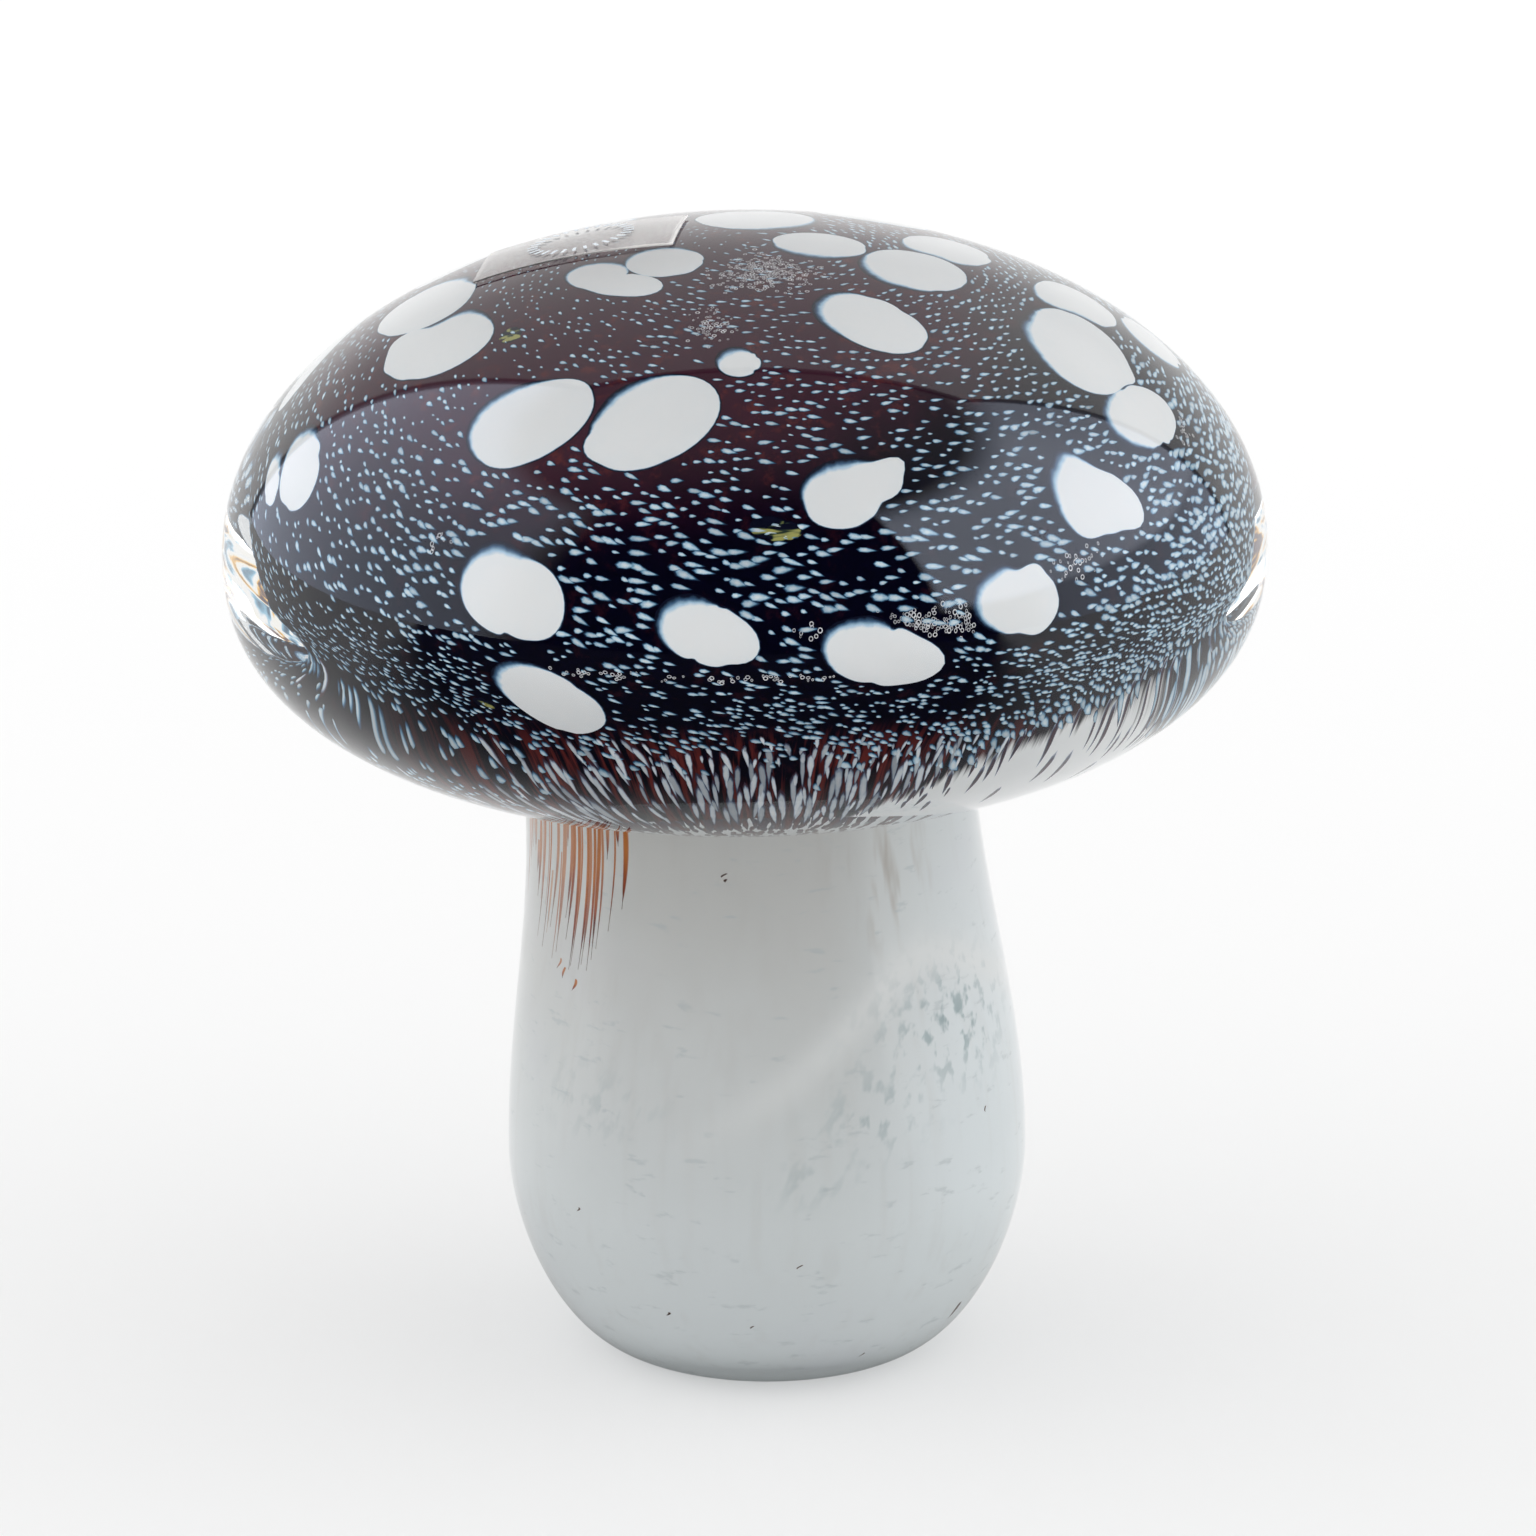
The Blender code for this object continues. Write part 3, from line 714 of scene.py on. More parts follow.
def reach(points):
    """1 on the heart's skin and less inside it."""
    high = np.where(points[..., 2] >= 0, HEART_RISE, HEART_DROP)
    across = np.hypot(points[..., 0], points[..., 1]) / HEART_RADIUS
    return np.hypot(across, points[..., 2] / high)


def outwards(point):
    """The direction straight out of the heart's skin."""
    high = HEART_RISE if point[2] >= 0 else HEART_DROP
    normal = Vector((point[0] / HEART_RADIUS ** 2, point[1] / HEART_RADIUS ** 2, point[2] / high ** 2))
    return normal.normalized()


def flush_rim(name):
    """The rim of a node's flush face, in the heart's own coordinates."""
    data = bmesh.new()
    data.from_mesh(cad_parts[name].data)
    bmesh.ops.remove_doubles(data, verts=data.verts, dist=0.002 * MM)
    data.transform(heart_place.inverted())
    flush = {face for face in data.faces if all(reach(np.array(vert.co)) > FLUSH for vert in face.verts)}
    rim = [edge for edge in data.edges if sum(face in flush for face in edge.link_faces) == 1]
    points = np.array(sorted({tuple(vert.co) for edge in rim for vert in edge.verts}))
    data.free()
    return points


def polar_outline(points):
    """The middle of a rim, its two level directions, and its radius at even angles round it."""
    middle = Vector(points.mean(axis=0))
    middle /= float(reach(np.array(middle)))
    normal = outwards(middle)
    east = Vector((0, 0, 1)).cross(normal).normalized()
    north = normal.cross(east)
    right = (points - np.array(middle)) @ np.array(east)
    up = (points - np.array(middle)) @ np.array(north)
    angles = np.arctan2(up, right)
    order = np.argsort(angles)
    turns = np.linspace(0, math.tau, RIM_POINTS, endpoint=False)
    radii = np.interp(turns, angles[order], np.hypot(right, up)[order], period=math.tau)
    return middle, east, north, turns, radii


def rounded(radii, dice, ragged):
    """Soften the corners of an outline, then nick it here and there."""
    for _ in range(6):
        radii = (np.roll(radii, 1) + radii * 2 + np.roll(radii, -1)) / 4
    place = np.arange(len(radii))
    for _ in range(int(ragged * 5)):
        far = np.abs((place - dice.uniform(0, len(radii)) + len(radii) / 2) % len(radii) - len(radii) / 2)
        nick = dice.uniform(0.05, 0.18) * ragged * MM
        radii = radii - nick * np.exp(-((far / dice.uniform(0.8, 2.4)) ** 2))
    return radii


# %% A spot rebuilt as rings
# Corners of single spots: direction, 0 to the right and 90 up, distance in mm, breadth in degrees.
CORNERS = {
    "spot_01": [(62, 0.5, 30), (180, 0.2, 30), (-60, -0.2, 30), (-15, -0.45, 34)],
    "spot_02": [(215, 0.35, 18), (10, 0.1, 30), (165, -0.25, 30)],
    "spot_04": [(150, 0.2, 26), (-40, 0.4, 30)],
    "spot_12": [(35, 0.6, 26), (205, 0.5, 20), (228, -0.4, 18)],
    "spot_15": [(-30, 0.6, 26), (130, 0.3, 30)],
    "spot_16": [(-30, 0.5, 24)],
    "spot_17": [(-15, 0.6, 24)],
    "spot_18": [(-12, 0.9, 20), (180, 0.2, 30)],
    "spot_19": [(30, 1.15, 15), (-30, -0.6, 30), (185, 0.3, 30)],
    "spot_20": [(-34, 1.1, 20), (110, 0.5, 20), (45, -0.4, 30), (210, 0.4, 24)],
    "spot_21": [(44, 0.5, 20), (-48, 0.4, 24), (125, 0.35, 24)],
    "spot_23": [(-62, 0.5, 16), (120, 0.2, 30)],
}


def rings_of(radii, fade_and_shade, lift):
    """Radius, height above the skin and edge share of each ring, from the outside in; the first ring, past
    the outline and just under the skin, takes the darkest stop and is painted shadow.
    """
    yield radii + 0.07 * MM + fade_and_shade, -0.03 * MM, 1.0
    yield radii - 0.05 * MM + fade_and_shade * 0.3, 0.5 * lift, 0.72
    yield radii - fade_and_shade * 0.45, 0.8 * lift, 0.36
    yield radii - fade_and_shade, lift, 0.12
    yield radii * 0.5, lift, 0.0


def pulled(radii, turns, corners):
    """Pull corners out of an outline, or press hollows into it."""
    for direction, distance, breadth in corners:
        far = (turns - math.radians(direction) + math.pi) % math.tau - math.pi
        radii = radii + distance * MM * np.exp(-((far / math.radians(breadth)) ** 2))
    return radii


def pressed(name, dice, ragged=1.0, lift=0.08 * MM, fade_and_shade_width=0.30 * MM):
    """The mesh of one pressed piece, with its edge share kept on its points."""
    middle, east, north, turns, radii = polar_outline(flush_rim(name))
    radii = pulled(rounded(radii, dice, ragged), turns, CORNERS.get(name, []))
    # Painted shadow: the dark outer ring and the blue fade are wider on one side, towards the upper left.
    shaded_side = math.radians(150) + dice.uniform(-0.5, 0.5)
    fade_and_shade = fade_and_shade_width * (0.35 + 1.7 * np.clip(np.cos(turns - shaded_side), 0, 1) ** 2)
    rows, edge = [], []
    for ring, height, share in rings_of(radii, fade_and_shade, lift):
        for turn, radius in zip(turns, ring):
            point = middle + east * (math.cos(turn) * radius) + north * (math.sin(turn) * radius)
            point /= float(reach(np.array(point)))
            rows.append(point + outwards(point) * height)
        edge += [share] * len(turns)
    rows += [middle + outwards(middle) * lift, middle - outwards(middle) * 0.5 * MM]
    edge += [0.0, 1.0]
    mesh = bpy.data.meshes.new(name)
    mesh.from_pydata([heart_place @ point for point in rows], [], ring_faces(len(turns), 5))
    keep(mesh, "edge", edge)
    mesh.shade_smooth()
    return mesh


# %% Finishes of the spots and flecks
# Spots: pale opal, blue where it thins, then the navy and near-black of the ring of painted shadow round it.
SPOT_AND_SHADOW_STOPS = [(0.0, (0.925, 0.94, 0.95)), (0.16, (0.90, 0.93, 0.95)), (0.38, (0.42, 0.63, 0.80)),
              (0.60, (0.07, 0.15, 0.27)), (0.80, (0.006, 0.008, 0.022))]


def pressed_finish(name, stops, mottle=0.3, grain=(1500.0, 1500.0, 1500.0)):
    """Milky in the middle, with a frayed edge that runs through the stops."""
    finish, tree, shader = new_finish(name, INSIDE)
    fray = noise(tree, stretched(tree, in_place(tree), grain), 1.0, 2.0)
    edge = calc(tree, "ADD", read(tree, "edge"), calc(tree, "MULTIPLY_ADD", fray, mottle, -mottle / 2))
    milk = noise(tree, in_place(tree), 260.0, 3.0)
    colour = blend(tree, calc(tree, "MULTIPLY", milk, 0.14), ramp(tree, edge, stops), (0.70, 0.73, 0.74))
    inside = span(tree, edge, 0.30, 0.10)
    mixed = blend(tree, inside, ramp(tree, edge, stops), colour)
    tree.links.new(mixed, shader.inputs["Base Color"])
    return finish


spot_opal = pressed_finish("spot_opal", SPOT_AND_SHADOW_STOPS)
YELLOW_STOPS = [(0.0, (0.36, 0.35, 0.08)), (0.2, (0.20, 0.21, 0.06)), (0.4, (0.03, 0.05, 0.035)),
                (0.6, (0.004, 0.005, 0.016))]
yellow_green = pressed_finish("yellow_green", YELLOW_STOPS, 4.4, (340.0, 900.0, 2300.0))

# %% Lay the spots
DICE_SEED = 11
dice = np.random.default_rng(DICE_SEED)
spot_names = sorted(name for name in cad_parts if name.startswith("spot_"))
for name in spot_names:
    piece("opal_" + name, pressed(name, dice), spot_opal, [name])
fleck_names = sorted(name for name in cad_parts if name.startswith("yellow_fleck"))
for name in fleck_names:
    fleck = pressed(name, dice, 1.5, 0.03 * MM, 0.5 * MM)
    piece("glass_" + name, fleck, yellow_green, [name])
print("spots laid:", len(spot_names))

# %% [markdown]
# Crushed chips cover the heart by the thousand. Each was dragged into a small teardrop as the
# glass was turned, blunt behind and pointed in front. They are few and small on the dome, crowd
# together lower down, and under the widest line they stretch into long streaks that run down to
# the neck. Laid by hand they would take days, and a speckled texture would have no blunt and
# pointed ends. So a Geometry Nodes tree scatters one small teardrop over the heart's skin. The skin
# carries how crowded, how long and in which direction they lie at each of its points.

# %% One chip
CHIP_SIDES = 8


def chip_shape():
    """A teardrop lens one unit long and wide, with its edge share kept on its points."""
    angles = np.linspace(0, math.tau, CHIP_SIDES, endpoint=False)
    across = np.sin(angles) * np.sin(angles / 2) * 0.65
    rim = [(0.5 * math.cos(a), w, -0.3) for a, w in zip(angles, across)]
    inner = [(0.31 * math.cos(a) - 0.04, w * 0.62, 0.7) for a, w in zip(angles, across)]
    points = rim + inner + [(-0.08, 0.0, 1.0), (0.0, 0.0, -1.2)]
    mesh = bpy.data.meshes.new("chip")
    mesh.from_pydata(points, [], ring_faces(CHIP_SIDES, 2))
    keep(mesh, "edge", [1.0] * CHIP_SIDES + [0.3] * CHIP_SIDES + [0.0, 1.0])
    chip = bpy.data.objects.new("chip_shape", mesh)
    return chip


chip = chip_shape()
print("one chip has", len(chip.data.polygons), "faces")

# %% The tree that scatters chips
SIZE_SPREAD = (0.45, 1.35)
BREADTH_SPREAD = (0.75, 1.25)
BREADTH_POWER = 0.6  # long chips are broader, but less than in proportion


def make_scatter_tree():
    """Chips scattered over a skin, kept off the spots, each turned along the skin's grain."""
    sizes = {"Spacing": "Float", "Density": "Float", "Length": "Float", "Width": "Float"}
    rest = {"Thickness": "Float", "Clearance": "Float", "Wander": "Float", "Seed": "Int"}
    things = {"Chip": "Object", "Spots": "Object", "Finish": "Material"}
    tree, given = new_tree("scattered_chips", sizes | rest | things)

    def carried(name, kind="FLOAT"):
        made = node(tree, "GeometryNodeInputNamedAttribute", {"Name": name}, data_type=kind)
        return made.outputs[0]

    def chance(low, high, salt):
        seed = calc(tree, "ADD", given["Seed"], float(salt))
        sockets = {2: low, 3: high, "Seed": seed}
        return node(tree, "FunctionNodeRandomValue", sockets, data_type="FLOAT").outputs[1]

    spread = {"Mesh": given["Geometry"], "Distance Min": given["Spacing"], "Seed": given["Seed"],
              "Density Max": given["Density"], "Density Factor": carried("crowd")}
    points = node(tree, "GeometryNodeDistributePointsOnFaces", spread, distribute_method="POISSON")
    spots = node(tree, "GeometryNodeObjectInfo", {"Object": given["Spots"]}).outputs["Geometry"]
    near = node(tree, "GeometryNodeProximity", {0: spots}).outputs["Distance"]
    on_spot = calc(tree, "LESS_THAN", near, given["Clearance"])
    free = node(tree, "GeometryNodeDeleteGeometry", {0: points.outputs["Points"], 1: on_spot},
                domain="POINT")
    toned = node(tree, "GeometryNodeStoreNamedAttribute",
                 {"Geometry": free.outputs[0], "Name": "tone", "Value": chance(0.0, 1.0, 1)},
                 data_type="FLOAT", domain="POINT")
    swing = calc(tree, "MULTIPLY", given["Wander"], chance(-1.0, 1.0, 2))
    turning = {"Vector": carried("grain", "FLOAT_VECTOR"), "Axis": points.outputs["Normal"], "Angle": swing}
    heading = node(tree, "ShaderNodeVectorRotate", turning).outputs[0]
    aim = node(tree, "FunctionNodeAxesToRotation", {0: points.outputs["Normal"], 1: heading},
               primary_axis="Z", secondary_axis="X").outputs[0]
    size = chance(*SIZE_SPREAD, 3)
    stretch = calc(tree, "MULTIPLY", size, carried("stretch"))
    long = calc(tree, "MULTIPLY", given["Length"], stretch)
    power = calc(tree, "POWER", stretch, BREADTH_POWER)
    broad = calc(tree, "MULTIPLY", chance(*BREADTH_SPREAD, 4), power)
    wide = calc(tree, "MULTIPLY", given["Width"], broad)
    whole = node(tree, "ShaderNodeCombineXYZ", {"X": long, "Y": wide, "Z": given["Thickness"]}).outputs[0]
    shape = node(tree, "GeometryNodeObjectInfo", {"Object": given["Chip"]}).outputs["Geometry"]
    placed = {"Points": toned.outputs[0], "Instance": shape, "Rotation": aim, "Scale": whole}
    end_tree(tree, node(tree, "GeometryNodeInstanceOnPoints", placed).outputs[0], given["Finish"])
    return tree


scatter_tree = make_scatter_tree()
print("the scatter tree has", len(scatter_tree.nodes), "nodes")

# %% Where chips crowd and how they lie


def tangents(mesh, slant):
    """Directions along a skin, turned down from level by an angle in degrees."""
    normal = np.array([vert.normal for vert in mesh.vertices])
    east = np.cross([0.0, 0.0, 1.0], normal)
    east /= np.maximum(np.linalg.norm(east, axis=1, keepdims=True), 1e-9)
    north = np.cross(normal, east)
    angle = np.radians(slant)[:, None]
    return east * np.cos(angle) - north * np.sin(angle)


def ground(skin, crowd, stretch, slant):
    """A copy of a skin that carries what the scatter tree reads."""
    host = skin.copy()
    keep(host, "crowd", crowd)
    keep(host, "stretch", stretch)
    keep(host, "grain", tangents(host, slant))
    return host


def dome_crowd(azimuth, slope):
    """Chips wanted in each square millimetre."""
    wanted = by(slope, {-50: 0, -44: 1.6, -20: 1.5, -10: 1.3, 0: 1.1, 10: 0.98, 25: 0.92, 40: 0.88, 90: 0.68})
    left = by(azimuth, {-130: 0, -100: 0.5, -45: 0.4, -25: 0}) * by(slope, {-30: 1, 30: 0})
    right = by(azimuth, {22: 0, 40: 0.3, 60: 0.75, 75: 1.5, 120: 1.5, 150: 0})
    right *= by(slope, {-30: 2.4, -8: 1.6, 10: 0.6, 40: 0.35, 60: 0.2})
    flank = 1 - by(azimuth, {-110: 0.3, -75: 0.15, -45: 0}) * (slope < 0)
    return (wanted * flank + left + right) * (slope > bare_below(azimuth) + 1)


def dome_stretch(azimuth, slope):
    """Length of the chips as a share of their full length."""
    length = by(slope, {-36: 0.68, -15: 0.74, 0: 0.95, 12: 1.12, 26: 0.95, 42: 0.72, 60: 0.62})
    return length * by(azimuth, {-110: 0.62, -75: 0.74, -45: 0.85, -20: 1.05, 60: 1.05, 90: 1.25})


def dome_slant(azimuth, slope):
    """How far the chips point down from level, in degrees."""
    left = by(azimuth, {-80: 1, -40: 0}) * by(slope, {-36: 12, -20: 7, 0: 4})
    return left + by(slope, {-36: 24, -20: 16, 0: 10, 20: 5})


# Where air bubbles lie in patches, chips are fewer: azimuth, slope, breadth, height, share.
BUBBLE_PATCHES = [(20, 2, 13, 2.3, 0.75), (12, 78, 30, 6, 0.8), (48, 7, 5, 3, 0.5), (-46, 12, 2, 1.5, 0.5),
                  (2, -14, 18, 1.8, 0.5), (30, 0, 7, 2.0, 0.6), (-10, 62, 8, 4, 0.6), (84, 16, 4, 3, 0.5),
                  (-22, -13, 8, 1.6, 0.45)]


def bubble_share(azimuth, slope):
    """1 in the thick of a patch of bubbles, 0 away from them."""
    share = np.zeros(len(slope))
    for around, up, wide, high, most in BUBBLE_PATCHES:
        far = (azimuth - around + 180) % 360 - 180
        share += most * np.exp(-((far / wide) ** 2) - (((slope - up) / high) ** 2))
    return np.clip(share, 0, 1)


# %% Finish of the chips
# Chips: pale, blue where they thin, then the navy and near-black of painted shadow at each chip's rim.
CHIP_AND_SHADOW_STOPS = [(0.0, (0.82, 0.89, 0.92)), (0.18, (0.62, 0.77, 0.86)), (0.38, (0.19, 0.41, 0.60)),
              (0.56, (0.035, 0.10, 0.20)), (0.85, (0.003, 0.004, 0.014))]


def chip_finish(name, stops, deep):
    """Pale chips with blue edges; deep is the share by which some are darker than others."""
    finish, tree, shader = new_finish(name, INSIDE)
    fray = noise(tree, in_place(tree), 2400.0, 1.0)
    edge = calc(tree, "ADD", read(tree, "edge"), calc(tree, "MULTIPLY_ADD", fray, 0.4, -0.2))
    tone = calc(tree, "MULTIPLY", read(tree, "tone"), deep)
    colour = blend(tree, tone, ramp(tree, edge, stops), (0.03, 0.06, 0.11))
    tree.links.new(colour, shader.inputs["Base Color"])
    return finish


chip_white = chip_finish("chip_white", CHIP_AND_SHADOW_STOPS, 0.3)

# %% Scatter the chips


def joined_spots():
    """All spots in one hidden object, for the trees to keep clear of."""
    data = bmesh.new()
    for name in spot_names:
        data.from_mesh(bpy.data.objects["opal_" + name].data)
    return bpy.data.objects.new("all_spots", plain_mesh(data, "all_spots"))


def lay(name, skin, sizes):
    """Scatter over a skin and keep what grows as one piece."""
    mesh = grow(scatter_tree, skin, sizes)
    piece(name, mesh, sizes["Finish"])
    print(name + ":", len(mesh.polygons) // len(sizes["Chip"].data.polygons))


all_spots = joined_spots()
# Density is for a square metre, and Clearance is the gap that chips keep from the spots.
CHIP_SIZES = {"Density": 8e6, "Length": 1.42 * MM, "Thickness": 0.035 * MM, "Clearance": 0.25 * MM,
              "Wander": 0.22, "Seed": 3, "Chip": chip, "Spots": all_spots, "Finish": chip_white}
azimuth, slope = heart_angles(points_of(outer_skin))
bubbly = bubble_share(azimuth, slope)
# Each band of slopes in degrees has its own spacing and width. The spacing is the least distance
# between chips, which spreads them evenly, and FILLING is how much of a square that side long they fill.
FILLING = 0.69
BUBBLES_CLEAR = 0.6
BANDS = {"crown": (30, 91, 0.76 * MM, 0.50 * MM), "shoulder": (4, 30, 0.75 * MM, 0.50 * MM),
         "brim": (-20, 4, 0.50 * MM, 0.48 * MM), "under": (-60, -20, 0.45 * MM, 0.60 * MM)}
for band, (low, high, spacing, width) in BANDS.items():
    fullest = FILLING / (spacing / MM) ** 2
    crowd = np.clip(dome_crowd(azimuth, slope) / fullest, 0, 1) * ((slope > low) & (slope <= high))
    crowd *= 1 - BUBBLES_CLEAR * bubbly
    band_ground = ground(outer_skin, crowd, dome_stretch(azimuth, slope), dome_slant(azimuth, slope))
    band_sizes = CHIP_SIZES | {"Spacing": spacing, "Width": width}
    lay("crushed_chips_" + band, band_ground, band_sizes)

# %% [markdown]
# Below the widest line the glass was drawn down towards the neck, and the chips with it. The same
# tree makes these streaks, longer, finer and nearly upright. Pale ones lie on the dark overlay.
# To the right, where the opal is bare, a few dark slivers lie on it instead, and dark and russet
# slivers run on round the flare under the overlay's edge.

# %% Pale streaks


def streak_slant(azimuth):
    """Nearly upright, and slanting down to the right at the left side."""
    return by(azimuth, {-150: 70, -90: 58, -30: 68, 0: 84, 50: 84, 150: 84})


streaks_from = by(azimuth, {-110: -27, -80: -30, -62: -41, 150: -41, 180: -27})
low_crowd = by(slope - streaks_from, {-14: 0.5, -8: 0.6, -3: 0.4, 0: 0})
low_crowd *= by(azimuth, {-110: 0.15, -70: 0.25, -45: 1.1, -10: 1.4, 10: 1.7, 60: 1.6, 90: 2.2})
low_crowd = np.clip(low_crowd, 0, 1) * (slope > bare_below(azimuth) + 1)
low_stretch = by(slope - streaks_from, {-12: 1.35, -4: 0.95, 0: 0.65})
low_stretch *= by(azimuth, {-110: 1.1, -70: 1.1, -30: 1.0, 60: 0.8})
streak_ground = ground(outer_skin, low_crowd, low_stretch, streak_slant(azimuth))
STREAK_STOPS = [(0.0, (0.90, 0.92, 0.94)), (0.26, (0.76, 0.83, 0.89)), (0.44, (0.28, 0.36, 0.50)),
                (0.64, (0.07, 0.035, 0.05)), (0.9, (0.05, 0.012, 0.018))]
streak_pale = chip_finish("streak_pale", STREAK_STOPS, 0.6)
STREAK_SIZES = CHIP_SIZES | {"Spacing": 0.64 * MM, "Length": 2.1 * MM, "Width": 0.50 * MM,
                             "Wander": 0.24, "Seed": 8, "Finish": streak_pale}
lay("pale_streaks", streak_ground, STREAK_SIZES)

# %% Dark slivers on the bare opal
SLIVER_STOPS = [(0.0, (0.055, 0.012, 0.022)), (0.4, (0.03, 0.02, 0.045)), (0.7, (0.16, 0.20, 0.30)),
                (1.0, (0.62, 0.68, 0.74))]
sliver_dark = chip_finish("sliver_dark", SLIVER_STOPS, 0.0)
past = slope - bare_below(azimuth)
sliver_crowd = by(past, {-13: 0, -7: 0.03, -3: 0.3, 1: 0.75, 3: 0})
sliver_ground = ground(outer_skin, sliver_crowd, np.ones(len(slope)), streak_slant(azimuth))
SLIVER_SIZES = STREAK_SIZES | {"Spacing": 0.7 * MM, "Density": 4e6, "Length": 1.6 * MM, "Width": 0.44 * MM,
                               "Seed": 21, "Finish": sliver_dark}
lay("dark_slivers", sliver_ground, SLIVER_SIZES)

# %% Slivers drawn round the flare
FLARE_SLIVER_STOPS = [(0.0, (0.12, 0.022, 0.022)), (0.5, (0.05, 0.014, 0.024)), (0.8, (0.03, 0.02, 0.04)),
                      (1.0, (0.30, 0.30, 0.34))]
sliver_russet = chip_finish("sliver_russet", FLARE_SLIVER_STOPS, 0.5)
heart_points = points_of(opal_heart.data)
neck_azimuth = heart_angles(heart_points)[0]
neck_height = in_heart(heart_points)[:, 2]
flare_crowd = by(neck_height / MM, {-15.0: 0, -13.0: 0.5, -11.0: 1, -8.0: 1, -7.8: 0})
flare_crowd *= by(neck_azimuth, {-180: 1, 5: 1, 40: 0.25, 110: 0.25, 150: 1, 180: 1})
upright = np.full(len(heart_points), 88.0)
flare_ground = ground(opal_heart.data, flare_crowd, np.ones(len(heart_points)), upright)
FLARE_SIZES = STREAK_SIZES | {"Spacing": 0.4 * MM, "Density": 3.4e6, "Length": 3.0 * MM, "Width": 0.62 * MM,
                              "Seed": 31, "Finish": sliver_russet}
lay("flare_slivers", flare_ground, FLARE_SIZES)

# %% [markdown]
# Some of the overlay's colour was pulled right down into the neck, in a sheaf of thin amber
# threads at the left. The CAD part holds the six main ones. Here finer threads that lie on the
# stem's heart take their place. Most end in a darker tip, and a few beads broke off below.
# There are only some thirty, each with its own ends, width and sway, so a list of rows and a
# function that draws one thread are plainer than a scatter.

# %% A thread on the stem's heart
THREAD_RINGS = 16


def on_stem(azimuth, height, lift=0.0):
    """A point over the skin of the stem's heart, by azimuth in degrees and height."""
    radius = shoulder(height, HEART_NECK, STEM_WALL) + lift
    if height < BELLY_HEIGHT:
        radius = FOOT_RADIUS + (BELLY_RADIUS - FOOT_RADIUS) * foot_share(height) - STEM_WALL + lift
    turn = math.radians(azimuth)
    return Vector((radius * math.sin(turn) + heart_lean(height), -radius * math.cos(turn), height))


def foot_share(height):
    """How far the foot's outline has swung out to the belly at a height."""
    along = (BELLY_HEIGHT - height) / (BELLY_HEIGHT - FOOT_WALL)
    return (1 - along ** FOOT_FULLNESS) ** (1 / FOOT_FULLNESS)


def strands(rows, dice):
    """Closed flat threads, each from (azimuth, top, bottom, width in mm, pallor)."""
    points, faces, edge, down, tone = [], [], [], [], []
    for azimuth, top, bottom, width, pallor in rows:
        first, sway = len(points), dice.uniform(-1, 1)
        for t in np.linspace(0, 1, THREAD_RINGS):
            height = (top + (bottom - top) * t) * MM
            radius = shoulder(height, HEART_NECK, STEM_WALL)
            taper = max(0.04, math.sin(math.pi * min(t + 0.12, 1.0)) ** 0.4) * (1 - 0.3 * t)
            half = math.degrees(width * MM * taper / 2 / radius)
            middle = azimuth + sway * math.degrees(0.25 * MM / radius) * math.sin(3 * t + sway)
            ring = ((middle - half, 0.0), (middle, 0.05), (middle + half, 0.0), (middle, -0.05))
            points += [on_stem(side, height, lift * MM) for side, lift in ring]
            edge += [1.0, 0.0, 1.0, 1.0]
            down += [t] * 4
            tone += [pallor] * 4
        for ring in range(THREAD_RINGS - 1):
            here = first + 4 * ring
            faces += [(here + j, here + 4 + j, here + 4 + (j + 1) % 4, here + (j + 1) % 4) for j in range(4)]
        last = first + 4 * (THREAD_RINGS - 1)
        faces += [(first, first + 1, first + 2, first + 3), (last + 3, last + 2, last + 1, last)]
    mesh = bpy.data.meshes.new("strands")
    mesh.from_pydata(points, [], faces)
    for name, values in (("edge", edge), ("down", down), ("tone", tone)):
        keep(mesh, name, values)
    return mesh


# %% Amber threads in the neck
THREAD_COUNT = 30


def sheaf(dice):
    """Rows of a dense sheaf: its lower edge dips in the middle, and the left side is paler."""
    rows = []
    for share in np.linspace(0, 1, THREAD_COUNT):
        azimuth = -96 + 53 * share + dice.uniform(-0.8, 0.8)
        lowest = by(azimuth, {-96: 40, -85: 38, -75: 36.8, -62: 36.2, -51: 36, -47: 38.5, -43: 43})
        end = lowest + 11 * dice.uniform(0, 1) ** 2
        start = 51.6 if dice.uniform() < 0.7 else dice.uniform(end + 3, 51.6)
        pallor = by(azimuth, {-96: 0.55, -75: 0.4, -60: 0.1, -45: 0.0}) + dice.uniform(-0.3, 0.4)
        rows.append((azimuth, start, end, dice.uniform(0.22, 0.72), min(max(pallor, 0), 1)))
    beads = [(-63, 36.4, 35.4, 0.35, 0.1), (-58, 35.8, 34.7, 0.4, 0.0), (-66, 37.0, 36.0, 0.3, 0.3)]
    return rows + beads


AMBER_STOPS = [(0.0, (0.56, 0.20, 0.065)), (0.4, (0.58, 0.20, 0.06)), (0.68, (0.36, 0.085, 0.04)),
               (0.9, (0.11, 0.024, 0.022))]


